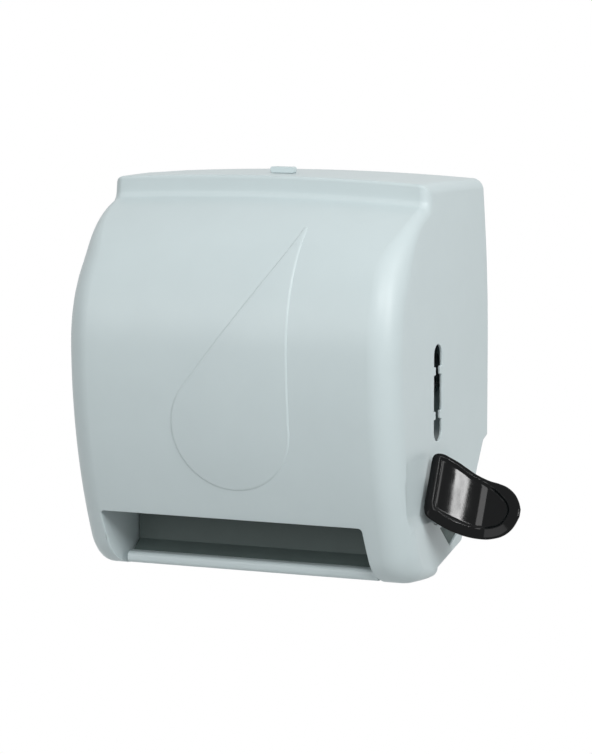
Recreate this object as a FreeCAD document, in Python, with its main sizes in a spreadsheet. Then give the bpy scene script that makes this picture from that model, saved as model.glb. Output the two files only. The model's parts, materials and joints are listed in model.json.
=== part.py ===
import FreeCAD
import Part

import math
import os

import Sketcher

# A wall-hung lever paper towel dispenser, in millimetres.
# +X is to the viewer's right, +Y goes into the wall and +Z is up. Places are written as a depth
# out of the wall and a height above the foot of the cover's cheeks, and every sub-part's Placement
# drops it so that the origin is the middle of the wall screws on the wall's face.

DRIVING_SIZES = {
    "origin_height": 215.0,
    # Cover shell
    "cover_half_width": 150.0,
    "cover_depth": 222.5,
    "cover_wall": 2.5,
    "belly_height": 197.0,
    "brow_below_crown": 13.0,
    "shin_radius": 430.0,
    "toe_radius": 38.0,
    "edge_round": 24.0,
    "lean_height": 180.0,
    "lean_in": 5.5,
    "crown_height": 335.0,
    "crown_radius": 2306.0,
    "crown_corner": 12.0,
    "band_depth": 131.0,
    "band_round": 4.0,
    "cap_height": 45.0,
    "cheek_heel": 4.6,
    "cheek_step_depth": 113.0,
    "cheek_step_height": 11.7,
    "knee_depth": 62.0,
    "knee_height": 23.3,
    "skirt_depth": 10.0,
    "skirt_height": 102.6,
    "wall_foot": 106.6,
    # Paper outlet between the cheeks
    "outlet_half_width": 117.0,
    "outlet_height": 55.5,
    "cheek_behind_guide": 1.0,
    "outlet_corner": 3.5,
    # Level slots in the cover's sides
    "slot_depth": 119.5,
    "slot_foot": 116.0,
    "slot_height": 81.4,
    "slot_half_width": 9.0,
    "slot_neck_half": 5.0,
    "slot_lobe": 18.5,
    "slot_neck": 7.0,
    # Recess and gap around the lever's root
    "recess_front": 190.0,
    "recess_back": 92.0,
    "recess_foot": 50.0,
    "recess_top": 113.0,
    "recess_corner": 10.0,
    "recess_sink": 3.0,
    "gap_height": 41.5,
    # Lever and its pivot, on which the cover hangs too
    "pivot_depth": 120.0,
    "pivot_height": 60.0,
    "boss_radius": 14.0,
    "boss_end": 149.5,
    "left_boss_radius": 8.0,
    "left_boss_end": 149.0,
    "bush_radius": 8.5,
    "bush_flange": 11.0,
    "shaft_radius": 6.0,
    "lever_lean": 26.4,
    "lever_offset": 34.3,
    "lever_drop": 26.0,
    "lever_sheet": 4.5,
    "lever_root": 151.0,
    "lever_bend": 48.0,
    "lever_tip": 226.0,
    "lever_tip_radius": 24.0,
    "lever_top_root": 36.5,
    "lever_foot_root": -18.0,
    "lever_top_tip": 22.5,
    "lever_foot_tip": -26.5,
    "lever_hub_radius": 12.5,
    "lever_hub_end": 163.0,
    # Gear train outside the right side frame
    "gear_module": 1.5,
    "sector_teeth": 48.0,
    "pinion_teeth": 13.0,
    "gear_low": 121.0,
    "gear_width": 8.0,
    "mesh_angle": 135.0,
    "housing_low": 131.5,
    "housing_wall": 3.0,
    "housing_margin": 9.0,
    "post_radius": 5.0,
    "back_post_behind": 29.0,
    "back_post_rise": 11.0,
    "upper_post_before": 8.0,
    "upper_post_rise": 51.0,
    "fore_post_inset": 6.0,
    "fore_post_rise": 42.0,
    "post_screw_length": 14.0,
    # Feed and pinch rollers
    "feed_radius": 14.0,
    "feed_shaft_radius": 4.0,
    "clutch_radius": 6.0,
    "pinch_radius": 8.0,
    "pinch_shaft_radius": 3.0,
    "nip_gap": 0.3,
    "sleeve_length": 40.0,
    "sleeve_pitch": 75.0,
    "running_clearance": 0.06,
    "feed_bush_wall": 2.5,
    "pinch_bush_wall": 2.0,
    "bush_rim_wall": 1.2,
    "bush_rim_height": 1.5,
    "screw_head_radius": 3.5,
    "screw_head_height": 2.2,
    "screw_shank_radius": 1.5,
    "spring_wire_radius": 0.6,
    # Chassis
    "frame_inner": 112.0,
    "frame_wall": 3.0,
    "frame_back_top": 160.0,
    "frame_behind_front": 32.5,
    "frame_front_top": 114.0,
    "frame_front_foot": 64.0,
    "plate_half_width": 141.0,
    "plate_wall": 3.0,
    "plate_foot": 107.0,
    "plate_below_crown": 9.0,
    "plate_flange": 14.0,
    "screw_spacing_across": 160.0,
    "screw_spacing_up": 140.0,
    "screw_hole_radius": 2.75,
    "tray_half_width": 115.6,
    "tray_wall": 2.5,
    "lip_behind_front": 54.5,
    "lip_length": 12.0,
    "lip_top": 12.0,
    "lip_foot": 2.5,
    "guide_behind_lip": 14.0,
    "guide_wall": 2.0,
    "guide_top": 75.0,
    "bar_behind_frame": 2.0,
    "bar_length": 9.5,
    "bar_foot": 70.0,
    "bar_top": 79.5,
    "bar_wall": 2.0,
    "tenon_width": 4.0,
    "tenon_height": 5.0,
    "spring_bar_foot": 70.0,
    "spring_bar_width": 8.0,
    "leaf_wall": 0.8,
    "leaf_width": 10.0,
    "leaf_inset": 4.0,
    "blade_screw_out": 90.0,
    "blade_screw_rise": 4.5,
    "blade_screw_length": 3.0,
    "blade_wall": 1.2,
    "blade_foot": 59.0,
    "blade_half_width": 108.0,
    "tooth_pitch": 6.0,
    "tooth_depth": 4.0,
    # Roll arms and core plugs
    "roll_depth": 108.0,
    "roll_height": 200.0,
    "arm_inner": 104.0,
    "arm_wall": 4.0,
    "arm_pivot_depth": 13.0,
    "arm_pivot_out": 112.0,
    "knuckle_radius": 6.0,
    "knuckle_half_height": 16.0,
    "knuckle_height": 7.0,
    "arm_pin_radius": 2.5,
    "plug_pin_radius": 3.0,
    "plug_radius": 18.0,
    "plug_length": 14.0,
    "plug_flange_radius": 27.0,
    # Slide lock on the cover's top
    "lock_depth": 98.0,
    "lock_half_width": 10.8,
    "lock_rise": 5.5,
    "lock_travel": 6.0,
    "lock_stem_width": 5.0,
    "lock_stem_inset": 4.0,
    "lock_stem_length": 3.0,
    "lock_stem_drop": 12.0,
    "lock_hook_drop": 16.0,
    "lock_hook_reach": 3.0,
    "catch_clear": 1.4,
    "catch_width": 18.0,
    "catch_drop": 18.5,
    "catch_wall": 3.5,
    "catch_root_height": 15.5,
    "catch_upstand": 7.0,
    "catch_reach": 57.0,
}

# Clearances that pieces share
SEAT_GAP = 0.3
TENON_GAP = 0.1


class Size:
    """A number together with the sheet expression that gives it."""

    def __init__(self, number, text):
        self.number = number
        self.text = text

    def __add__(self, other):
        return Size(self.number + number_of(other), f"({self.text} + {text_of(other)})")

    def __radd__(self, other):
        return Size(number_of(other) + self.number, f"({text_of(other)} + {self.text})")

    def __sub__(self, other):
        return Size(self.number - number_of(other), f"({self.text} - {text_of(other)})")

    def __rsub__(self, other):
        return Size(number_of(other) - self.number, f"({text_of(other)} - {self.text})")

    def __mul__(self, other):
        return Size(self.number * number_of(other), f"({self.text} * {text_of(other)})")

    def __rmul__(self, other):
        return Size(number_of(other) * self.number, f"({text_of(other)} * {self.text})")

    def __truediv__(self, other):
        return Size(self.number / number_of(other), f"({self.text} / {text_of(other)})")

    def __rtruediv__(self, other):
        return Size(number_of(other) / self.number, f"({text_of(other)} / {self.text})")

    def __neg__(self):
        return Size(-self.number, f"(-1 * {self.text})")


def number_of(value):
    """The plain number of a Size or a number."""
    return value.number if isinstance(value, Size) else float(value)


def text_of(value):
    """The sheet expression of a Size or a number."""
    return value.text if isinstance(value, Size) else repr(float(value))


def root_of(value):
    return Size(math.sqrt(number_of(value)), f"sqrt({text_of(value)})")


def sine_of(degrees):
    return Size(math.sin(math.radians(number_of(degrees))), f"sin({text_of(degrees)} * 1 deg)")


def cosine_of(degrees):
    return Size(math.cos(math.radians(number_of(degrees))), f"cos({text_of(degrees)} * 1 deg)")


def lean_of(rise, run):
    """The angle of a slope, in degrees."""
    degrees = math.degrees(math.atan2(number_of(rise), number_of(run)))
    return Size(degrees, f"atan2({text_of(rise)}; {text_of(run)})")


class Sheet:
    """The spreadsheet of driving sizes, read as attributes."""

    def __init__(self, document, sizes):
        self.sizes = {}
        self.cells = document.addObject("Spreadsheet::Sheet", "Sizes")
        for alias, number in sizes.items():
            self.write(alias, number, str(number))

    def write(self, alias, number, content):
        self.sizes[alias] = number
        row = len(self.sizes)
        self.cells.set(f"A{row}", alias)
        self.cells.set(f"B{row}", content)
        self.cells.setAlias(f"B{row}", alias)

    def derive(self, alias, value):
        """A size that follows from others, kept as a formula in the sheet."""
        self.write(alias, value.number, "=" + value.text.replace("Sizes.", ""))

    def __getattr__(self, alias):
        return Size(self.sizes[alias], f"Sizes.{alias}")


document = FreeCAD.newDocument("dispenser")
size = Sheet(document, DRIVING_SIZES)
size.derive("brow_radius", size.crown_height - size.brow_below_crown - size.belly_height)
size.derive("cheek_back", size.cheek_step_depth + size.cheek_heel)
size.derive("frame_front", size.cover_depth - size.frame_behind_front)
size.derive("bar_front", size.frame_front - size.bar_behind_frame)
size.derive("bar_back", size.bar_front - size.bar_length)
size.derive("lip_front", size.cover_depth - size.lip_behind_front)
size.derive("lip_back", size.lip_front - size.lip_length)
size.derive("guide_depth", size.lip_back - size.guide_behind_lip)
size.derive("outlet_back", size.guide_depth + size.cheek_behind_guide)
size.derive("plate_top", size.crown_height - size.plate_below_crown)
document.recompute()

nodes = []


def fresh_name(stem):
    """A name that no object of the document has yet."""
    count = 1
    while document.getObject(f"{stem}_{count}"):
        count += 1
    return f"{stem}_{count}"


def bind(thing, prop, value):
    """Tie a property to its sheet expression."""
    thing.setExpression(prop, text_of(value))


def finish(thing, label):
    """Name a sub-part, drop it to the origin and keep it for export."""
    thing.Label = label
    bind(thing, "Placement.Base.z", -size.origin_height)
    nodes.append(thing)
    return thing


# Drawing: a loop is a list of corners, or a Ring. A corner is (a, b) or (a, b, radius, turn),
# where the stretch to the next corner is then an arc that turns left or right.
# On the side plane a is the depth and b the height, on the front plane a is X and b the height,
# and on the top plane a is X and b the depth.

class Ring:
    def __init__(self, a, b, radius):
        self.a = a
        self.b = b
        self.radius = radius


PLANES = {"side": "YZ_Plane", "front": "XZ_Plane", "top": "XY_Plane"}


def mapped(plane, a, b):
    """A corner in the sketch's own two directions."""
    if plane == "side":
        return -1 * a, b
    if plane == "top":
        return a, -1 * b
    return a, b


def fix_point(sketch, index, vertex, a, b):
    for kind, value in (("DistanceX", a), ("DistanceY", b)):
        constraint = Sketcher.Constraint(kind, -1, 1, index, vertex, number_of(value))
        place = sketch.addConstraint(constraint)
        if isinstance(value, Size):
            sketch.setExpression(f"Constraints[{place}]", value.text)


def fix_radius(sketch, index, radius):
    place = sketch.addConstraint(Sketcher.Constraint("Radius", index, number_of(radius)))
    if isinstance(radius, Size):
        sketch.setExpression(f"Constraints[{place}]", radius.text)


def arc_between(start, end, radius, turn):
    """A minor arc of a known radius, and whether its own start is the loop's end."""
    chord = end - start
    middle = (start + end) * 0.5
    left = FreeCAD.Vector(-chord.y, chord.x, 0).normalize()
    reach = math.sqrt(max(radius ** 2 - (chord.Length / 2) ** 2, 0.0))
    centre = middle + left * (reach if turn == "left" else -reach)
    first, last = (start, end) if turn == "left" else (end, start)
    circle = Part.Circle(centre, FreeCAD.Vector(0, 0, 1), radius)
    angles = [math.atan2(p.y - centre.y, p.x - centre.x) for p in (first, last)]
    return Part.ArcOfCircle(circle, angles[0], angles[1]), turn == "right"


def draw_loop(sketch, plane, loop):
    """Draw a closed loop and tie every corner and radius to the sheet."""
    if isinstance(loop, Ring):
        a, b = mapped(plane, loop.a, loop.b)
        centre = FreeCAD.Vector(number_of(a), number_of(b), 0)
        circle = Part.Circle(centre, FreeCAD.Vector(0, 0, 1), number_of(loop.radius))
        index = sketch.addGeometry(circle, False)
        fix_point(sketch, index, 3, a, b)
        fix_radius(sketch, index, loop.radius)
        return
    corners = [mapped(plane, corner[0], corner[1]) for corner in loop]
    spots = [FreeCAD.Vector(number_of(a), number_of(b), 0) for a, b in corners]
    mirrored = plane != "front"
    ends = []
    for place, corner in enumerate(loop):
        start = spots[place]
        end = spots[(place + 1) % len(loop)]
        if len(corner) == 2:
            index = sketch.addGeometry(Part.LineSegment(start, end), False)
            ends.append((index, 1, 2))
            continue
        turn = corner[3]
        if mirrored:
            turn = "left" if turn == "right" else "right"
        arc, backwards = arc_between(start, end, number_of(corner[2]), turn)
        index = sketch.addGeometry(arc, False)
        fix_radius(sketch, index, corner[2])
        ends.append((index, 2, 1) if backwards else (index, 1, 2))
    for place, (index, start_vertex, _) in enumerate(ends):
        before, _, end_vertex = ends[place - 1]
        sketch.addConstraint(Sketcher.Constraint("Coincident", before, end_vertex, index, start_vertex))
        fix_point(sketch, index, start_vertex, *corners[place])


def new_body(stem):
    return document.addObject("PartDesign::Body", fresh_name(stem))


def draw(body, plane, loops, offset):
    """A sketch on one of the body's own planes, moved along the plane's normal."""
    sketch = body.newObject("Sketcher::SketchObject", fresh_name("sketch"))
    base = {feature.Role: feature for feature in body.Origin.OriginFeatures}[PLANES[plane]]
    sketch.AttachmentSupport = (base, [""])
    sketch.MapMode = "FlatFace"
    bind(sketch, "AttachmentOffset.Base.z", offset)
    for loop in loops:
        draw_loop(sketch, plane, loop)
    return sketch


def extrude(body, plane, loops, low, high, cut=False):
    """Pad or pocket loops from low to high: along X, out of the wall, or up."""
    sketch = draw(body, plane, loops, low)
    kind = "Pocket" if cut else "Pad"
    feature = body.newObject(f"PartDesign::{kind}", fresh_name(kind.lower()))
    feature.Profile = sketch
    feature.Reversed = cut
    bind(feature, "Length", high - low)
    document.recompute()
    return feature


def slab(stem, plane, loops, low, high):
    """A body of one pad."""
    body = new_body(stem)
    extrude(body, plane, loops, low, high)
    return body


def rectangle(a_low, a_high, b_low, b_high):
    return [(a_low, b_low), (a_high, b_low), (a_high, b_high), (a_low, b_high)]


def rounded_rectangle(a_low, a_high, b_low, b_high, radius):
    return [
        (a_low + radius, b_low), (a_high - radius, b_low, radius, "left"),
        (a_high, b_low + radius), (a_high, b_high - radius, radius, "left"),
        (a_high - radius, b_high), (a_low + radius, b_high, radius, "left"),
        (a_low, b_high - radius), (a_low, b_low + radius, radius, "left"),
    ]


def block(stem, x_low, x_high, depth_low, depth_high, height_low, height_high):
    box = document.addObject("Part::Box", fresh_name(stem))
    bind(box, "Length", x_high - x_low)
    bind(box, "Width", depth_high - depth_low)
    bind(box, "Height", height_high - height_low)
    bind(box, "Placement.Base.x", x_low)
    bind(box, "Placement.Base.y", -1 * depth_high)
    bind(box, "Placement.Base.z", height_low)
    return box


AXIS_TURNS = {
    "x": FreeCAD.Rotation(FreeCAD.Vector(0, 1, 0), 90),
    "depth": FreeCAD.Rotation(FreeCAD.Vector(1, 0, 0), 90),
    "up": FreeCAD.Rotation(),
}


def aim(thing, axis, a, b, low):
    """Stand a primitive on its axis: a and b are its place across the axis, low its start along it."""
    thing.Placement = FreeCAD.Placement(FreeCAD.Vector(), AXIS_TURNS[axis])
    places = {"x": (low, -1 * a, b), "depth": (a, -1 * low, b), "up": (a, -1 * b, low)}[axis]
    for letter, value in zip("xyz", places):
        bind(thing, f"Placement.Base.{letter}", value)
    return thing


def rod(stem, axis, a, b, radius, low, high):
    cylinder = document.addObject("Part::Cylinder", fresh_name(stem))
    bind(cylinder, "Radius", radius)
    bind(cylinder, "Height", high - low)
    return aim(cylinder, axis, a, b, low)


def cone(stem, axis, a, b, radius_low, radius_high, low, high):
    piece = document.addObject("Part::Cone", fresh_name(stem))
    bind(piece, "Radius1", radius_low)
    bind(piece, "Radius2", radius_high)
    bind(piece, "Height", high - low)
    return aim(piece, axis, a, b, low)


def joined(stem, *pieces):
    fuse = document.addObject("Part::MultiFuse", fresh_name(stem))
    fuse.Shapes = list(pieces)
    fuse.Refine = True
    return fuse


def grouped(stem, *pieces):
    group = document.addObject("Part::Compound", fresh_name(stem))
    group.Links = list(pieces)
    return group


def without(stem, base, *tools):
    cut = document.addObject("Part::Cut", fresh_name(stem))
    cut.Base = base
    cut.Tool = tools[0] if len(tools) == 1 else joined(f"{stem}_tools", *tools)
    cut.Refine = True
    return cut


def shared(stem, first, second):
    common = document.addObject("Part::MultiCommon", fresh_name(stem))
    common.Shapes = [first, second]
    return common


def tube(stem, axis, a, b, outer, inner, low, high):
    return without(stem, rod(stem, axis, a, b, outer, low, high), rod(stem, axis, a, b, inner, low, high))


def coil(stem, axis, a, b, radius, wire, low, high, half_turns):
    """A round-wire spring about an axis: each half turn is half a ring, leaned so that it meets the next."""
    climb = (high - low - 2 * wire) / half_turns
    ring_radius = root_of(radius * radius + climb * climb / 4)
    lean = lean_of(climb, 2 * radius)
    halves = []
    for place in range(half_turns):
        ring = document.addObject("Part::Torus", fresh_name("half_turn"))
        bind(ring, "Radius1", ring_radius)
        bind(ring, "Radius2", wire)
        ring.Angle3 = 180
        onward = place % 2 == 1
        if onward:
            ring.Placement.Rotation = FreeCAD.Rotation(FreeCAD.Vector(0, 0, 1), 180)
        leaned = grouped("leaned", ring)
        leaned.Placement = FreeCAD.Placement(FreeCAD.Vector(), FreeCAD.Rotation(FreeCAD.Vector(0, 1, 0), 1.0))
        bind(leaned, "Placement.Rotation.Angle", -1 * lean if onward else lean)
        bind(leaned, "Placement.Base.z", wire + climb * (place + 0.5))
        halves.append(leaned)
    return grouped(stem, aim(joined("wound", *halves), axis, a, b, low))


def screw(stem, axis, a, b, head_start, forward, shank_length):
    """A pan-head screw with a hex socket. Its head starts at head_start and the shank goes forward or back."""
    head_end = head_start + size.screw_head_height
    if forward:
        shank = rod(stem, axis, a, b, size.screw_shank_radius, head_end, head_end + shank_length)
        socket_start = head_start
    else:
        shank = rod(stem, axis, a, b, size.screw_shank_radius, head_start - shank_length, head_start)
        socket_start = head_end - size.screw_head_height / 2
    head = rod(stem, axis, a, b, size.screw_head_radius, head_start, head_end)
    socket = document.addObject("Part::Prism", fresh_name("socket"))
    socket.Polygon = 6
    bind(socket, "Circumradius", size.screw_head_radius / 2)
    bind(socket, "Height", size.screw_head_height / 2)
    aim(socket, axis, a, b, socket_start)
    return without(stem, joined(stem, head, shank), socket)


# Cover shell: side profile, front outline, and the bowl and cap that they make

def bowl_profile(inset):
    """The cover's side view below its top band. The inset one runs out past the open back and foot."""
    brow_depth = size.cover_depth - size.brow_radius
    shin_depth = size.cover_depth - size.shin_radius
    between = size.shin_radius - size.toe_radius
    rise = size.belly_height - size.toe_radius
    toe_depth = shin_depth + root_of(between * between - rise * rise)
    share = (size.shin_radius - inset) / between
    toe_start = (shin_depth + (toe_depth - shin_depth) * share, size.belly_height - rise * share)
    roof = size.belly_height + size.brow_radius - inset
    front = [
        (brow_depth, roof, size.brow_radius - inset, "right"),
        (size.cover_depth - inset, size.belly_height, size.shin_radius - inset, "right"),
        (toe_start[0], toe_start[1], size.toe_radius - inset, "right"),
    ]
    if number_of(inset) > 0:
        back = [
            (toe_depth, inset),
            (size.cheek_back - inset, inset),
            (size.cheek_back - inset, -20.0),
            (-10.0, -20.0),
            (-10.0, roof),
        ]
    else:
        back = [
            (toe_depth, 0.0),
            (size.cheek_back, 0.0),
            (size.cheek_step_depth, size.cheek_step_height),
            (size.knee_depth, size.knee_height),
            (size.skirt_depth, size.skirt_height),
            (0.0, size.wall_foot),
            (0.0, roof),
        ]
    return front + back


# The trim's arch passes this far above the swept top, so that the two never coincide
TRIM_LIFT = 0.15


def leaning_side(inset, height):
    """The radius of the cover's leaning side and its half width at a height above the upright part."""
    rise = size.crown_height - size.lean_height
    lean_radius = (rise * rise + size.lean_in * size.lean_in) / (2 * size.lean_in) - inset
    climb = height - size.lean_height
    reach = root_of(lean_radius * lean_radius - climb * climb)
    return lean_radius, size.cover_half_width - inset - lean_radius + reach


def front_outline(inset):
    """The cover's front view: upright sides that lean in above the middle, and an arched top."""
    half = size.cover_half_width - inset
    side_top = size.crown_height - size.crown_corner - 4.0
    lean_radius, side_half = leaning_side(inset, side_top)
    corner = size.crown_corner - inset
    arch_half = side_half - corner - 0.6
    arch_radius = size.crown_radius - inset
    arch_top = (size.crown_height - size.crown_radius + TRIM_LIFT
                + root_of(arch_radius * arch_radius - arch_half * arch_half))
    return [
        (-1 * half, -60.0),
        (half, -60.0),
        (half, size.lean_height, lean_radius, "left"),
        (side_half, side_top, corner, "left"),
        (arch_half, arch_top, arch_radius, "left"),
        (-1 * arch_half, arch_top, corner, "left"),
        (-1 * side_half, side_top, lean_radius, "left"),
        (-1 * half, size.lean_height),
    ]


def plain_outline(inset):
    """The same front view with its sides carried on past the top, for the bowl below the cap."""
    half = size.cover_half_width - inset
    past_top = size.crown_height + 10.0
    lean_radius, side_half = leaning_side(inset, past_top)
    return [
        (-1 * half, -60.0),
        (half, -60.0),
        (half, size.lean_height, lean_radius, "left"),
        (side_half, past_top),
        (-1 * side_half, past_top, lean_radius, "left"),
        (-1 * half, size.lean_height),
    ]


def trim_to_front(body, outline):
    """Cut away all that lies outside a front outline."""
    frame = rectangle(-1 * size.cover_half_width - 60.0, size.cover_half_width + 60.0,
                      -90.0, size.crown_height + 60.0)
    extrude(body, "front", [frame, outline], -30.0, size.cover_depth + 30.0, cut=True)


def front_edges(shape, half):
    """The edges where the curved front meets the two sides."""
    names = []
    belly = number_of(size.belly_height)
    for place, edge in enumerate(shape.Edges, start=1):
        if edge.Length < 1.0:
            continue
        middle = edge.valueAt((edge.FirstParameter + edge.LastParameter) / 2)
        start, end = (vertex.Point for vertex in edge.Vertexes[:2]) if len(edge.Vertexes) > 1 else (middle, middle)
        on_side = all(abs(point.x) > half - number_of(size.lean_in) - 1.0 for point in (middle, start, end))
        same_side = start.x * end.x > 0
        deep = -middle.y > number_of(size.cheek_back) or middle.z > belly
        forward = min(-start.y, -end.y) > -0.01 and -middle.y > 20.0
        curved = abs(start.z - end.z) > 0.01 or abs(start.z) < 4.0 or start.z > belly + 100.0
        if on_side and same_side and deep and forward and curved:
            names.append(f"Edge{place}")
    return names


def bowl(inset):
    body = new_body("bowl")
    reach = size.cover_half_width + 20.0
    extrude(body, "side", [bowl_profile(inset)], -1 * reach, reach)
    trim_to_front(body, plain_outline(inset))
    trimmed = body.Tip
    half = number_of(size.cover_half_width) - number_of(inset)
    edges = front_edges(trimmed.Shape, half)
    fillet = body.newObject("PartDesign::Fillet", fresh_name("fillet"))
    fillet.Base = (trimmed, edges)
    bind(fillet, "Radius", size.edge_round - inset)
    document.recompute()
    return body


def cap(inset):
    """The arched top with its rounded band, swept about a far centre below the object."""
    body = new_body("cap")
    top = size.crown_height - inset
    face = size.band_depth - inset
    bend = size.band_round - inset
    foot = size.crown_height - size.cap_height
    back = -10.0 if number_of(inset) > 0 else 0.0
    profile = [(back, foot), (face, foot), (face, top - bend, bend, "left"), (face - bend, top), (back, top)]
    sketch = draw(body, "side", [profile], 0.0)
    axis = Part.LineSegment(FreeCAD.Vector(0, -2000, 0), FreeCAD.Vector(100, -2000, 0))
    index = sketch.addGeometry(axis, True)
    centre_height = size.crown_height - size.crown_radius
    fix_point(sketch, index, 1, 0.0, centre_height)
    fix_point(sketch, index, 2, 100.0, centre_height)
    turned = body.newObject("PartDesign::Revolution", fresh_name("revolution"))
    turned.Profile = sketch
    turned.ReferenceAxis = (sketch, ["Axis0"])
    turned.Midplane = True
    turned.Angle = 9.0
    document.recompute()
    trim_to_front(body, front_outline(inset))
    return body


def level_slot():
    """One long slot of two round lobes and a middle window, joined by narrower necks."""
    deep = size.slot_depth + size.slot_half_width
    shallow = size.slot_depth - size.slot_half_width
    neck_deep = size.slot_depth + size.slot_neck_half
    neck_shallow = size.slot_depth - size.slot_neck_half
    foot = size.slot_foot
    top = size.slot_foot + size.slot_height
    heights = [foot + size.slot_lobe, foot + size.slot_lobe + size.slot_neck,
               top - size.slot_lobe - size.slot_neck, top - size.slot_lobe]
    crown = size.slot_half_width
    return [
        (shallow, foot + crown, crown, "left"), (size.slot_depth, foot, crown, "left"),
        (deep, foot + crown), (deep, heights[0]), (neck_deep, heights[0]),
        (neck_deep, heights[1]), (deep, heights[1]), (deep, heights[2]), (neck_deep, heights[2]),
        (neck_deep, heights[3]), (deep, heights[3]), (deep, top - crown, crown, "left"),
        (size.slot_depth, top, crown, "left"), (shallow, top - crown), (shallow, heights[3]),
        (neck_shallow, heights[3]), (neck_shallow, heights[2]), (shallow, heights[2]),
        (shallow, heights[1]), (neck_shallow, heights[1]), (neck_shallow, heights[0]), (shallow, heights[0]),
    ]


def front_cover():
    half = size.cover_half_width
    outer = joined("cover_outside", bowl(0.0), cap(0.0))
    inner = joined("cover_inside", bowl(size.cover_wall), cap(size.cover_wall))
    shell = without("cover_shell", outer, inner)
    cheek_top = size.outlet_height + 6.0
    cheek_inner = size.outlet_half_width
    cheek_walls = [
        block("cheek_wall", low, low + size.cover_wall, size.outlet_back, size.cover_depth, -5.0, cheek_top)
        for low in (cheek_inner, -1 * cheek_inner - size.cover_wall)
    ]
    floor = half - size.recess_sink - size.cover_wall
    recess = rounded_rectangle(size.recess_back, size.recess_front, size.recess_foot,
                               size.recess_top, size.recess_corner)
    backing_loop = rounded_rectangle(
        size.recess_back - size.cover_wall, size.recess_front + size.cover_wall,
        size.recess_foot - size.cover_wall, size.recess_top + size.cover_wall,
        size.recess_corner + size.cover_wall)
    backing = slab("recess_back", "side", [backing_loop], floor, half)
    eye = rod("left_eye", "x", size.pivot_depth, size.pivot_height, size.left_boss_radius + 5.0,
              -1 * half + 0.5, -1 * half + 6.0)
    extras = shared("cover_extras", joined("extras", *cheek_walls, backing, eye), outer)
    whole = joined("cover_whole", shell, extras)
    outlet = slab(
        "outlet", "front",
        [rounded_rectangle(-1 * cheek_inner, cheek_inner, -30.0, size.outlet_height, size.outlet_corner)],
        60.0, size.cover_depth + 20.0)
    slot = slab("level_slot", "side", [level_slot()], -1 * half - 10.0, half + 10.0)
    sink = slab("recess", "side", [recess], half - size.recess_sink, half + 10.0)
    gap = slab("lever_gap", "side", [[
        (size.cheek_step_depth, size.gap_height), (size.knee_depth + 27.5, size.knee_height - 0.8),
        (size.knee_depth + 8.0, size.knee_height + 8.2), (size.knee_depth + 12.0, size.gap_height),
    ]], floor - 5.0, half + 10.0)
    clear = size.running_clearance
    right_eye = rod("right_eye", "x", size.pivot_depth, size.pivot_height, size.boss_radius + clear,
                    floor - 5.0, half + 10.0)
    left_hole = rod("left_hole", "x", size.pivot_depth, size.pivot_height, size.left_boss_radius + clear,
                    -1 * half - 10.0, -1 * half + 10.0)
    lock_slot = block("lock_slot", lock_stem_low() - SEAT_GAP, lock_stem_high() + size.lock_travel + SEAT_GAP,
                      lock_stem_back() - SEAT_GAP, lock_stem_front() + SEAT_GAP,
                      size.crown_height - 20.0, size.crown_height + 10.0)
    finish(without("cover", whole, outlet, slot, sink, gap, right_eye, left_hole, lock_slot), "front_cover")


# Slide lock: a tab over a slot in the cover's top, with a hook that a sideways push brings behind
# the chassis's catch

def lock_stem_low():
    return -1 * size.lock_stem_inset


def lock_stem_high():
    return lock_stem_low() + size.lock_stem_width


def lock_stem_back():
    return size.lock_depth - size.lock_stem_length / 2


def lock_stem_front():
    return size.lock_depth + size.lock_stem_length / 2


def slide_lock():
    top = size.crown_height
    tab = new_body("lock_tab")
    tab_loop = rounded_rectangle(-1 * size.lock_half_width, size.lock_half_width,
                                 top + SEAT_GAP, top + size.lock_rise, 1.5)
    extrude(tab, "front", [tab_loop], size.lock_depth - 3.5, size.lock_depth + 3.5)
    stem = block("lock_stem", lock_stem_low(), lock_stem_high(), lock_stem_back(), lock_stem_front(),
                 top - size.lock_stem_drop, top + SEAT_GAP + 1.0)
    foot = block("lock_foot", lock_stem_low(), lock_stem_high(), size.lock_depth - size.lock_hook_reach - 1.0,
                 size.lock_depth + size.lock_hook_reach, top - size.lock_hook_drop,
                 top - size.cover_wall - SEAT_GAP)
    finish(joined("slide_lock", tab, stem, foot), "slide_lock")


def lock_catch():
    """The chassis's tongue under the cover's top, with the upstand that the hook slides behind."""
    low = lock_stem_high() + size.catch_clear
    high = low + size.catch_width
    top = size.crown_height - size.catch_drop
    foot = top - size.catch_wall
    root_foot = top - size.catch_root_height
    wall = size.plate_wall
    rib_back = size.lock_depth + size.lock_hook_reach + SEAT_GAP + 0.2
    tongue = block("tongue", low, high, wall, rib_back + wall, foot, top)
    upstand = block("upstand", low, high, rib_back, rib_back + wall, foot + 2.0, top + size.catch_upstand)
    root = block("tongue_root", low, high, wall, 2 * wall, root_foot, top)
    gusset = slab("gusset", "side", [[
        (wall, root_foot), (wall, top - 1.5), (wall + size.catch_reach, top - 1.5),
    ]], low + (size.catch_width - wall) / 2, low + (size.catch_width + wall) / 2)
    finish(joined("lock_catch", tongue, upstand, root, gusset), "lock_catch")


# Chassis

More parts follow.
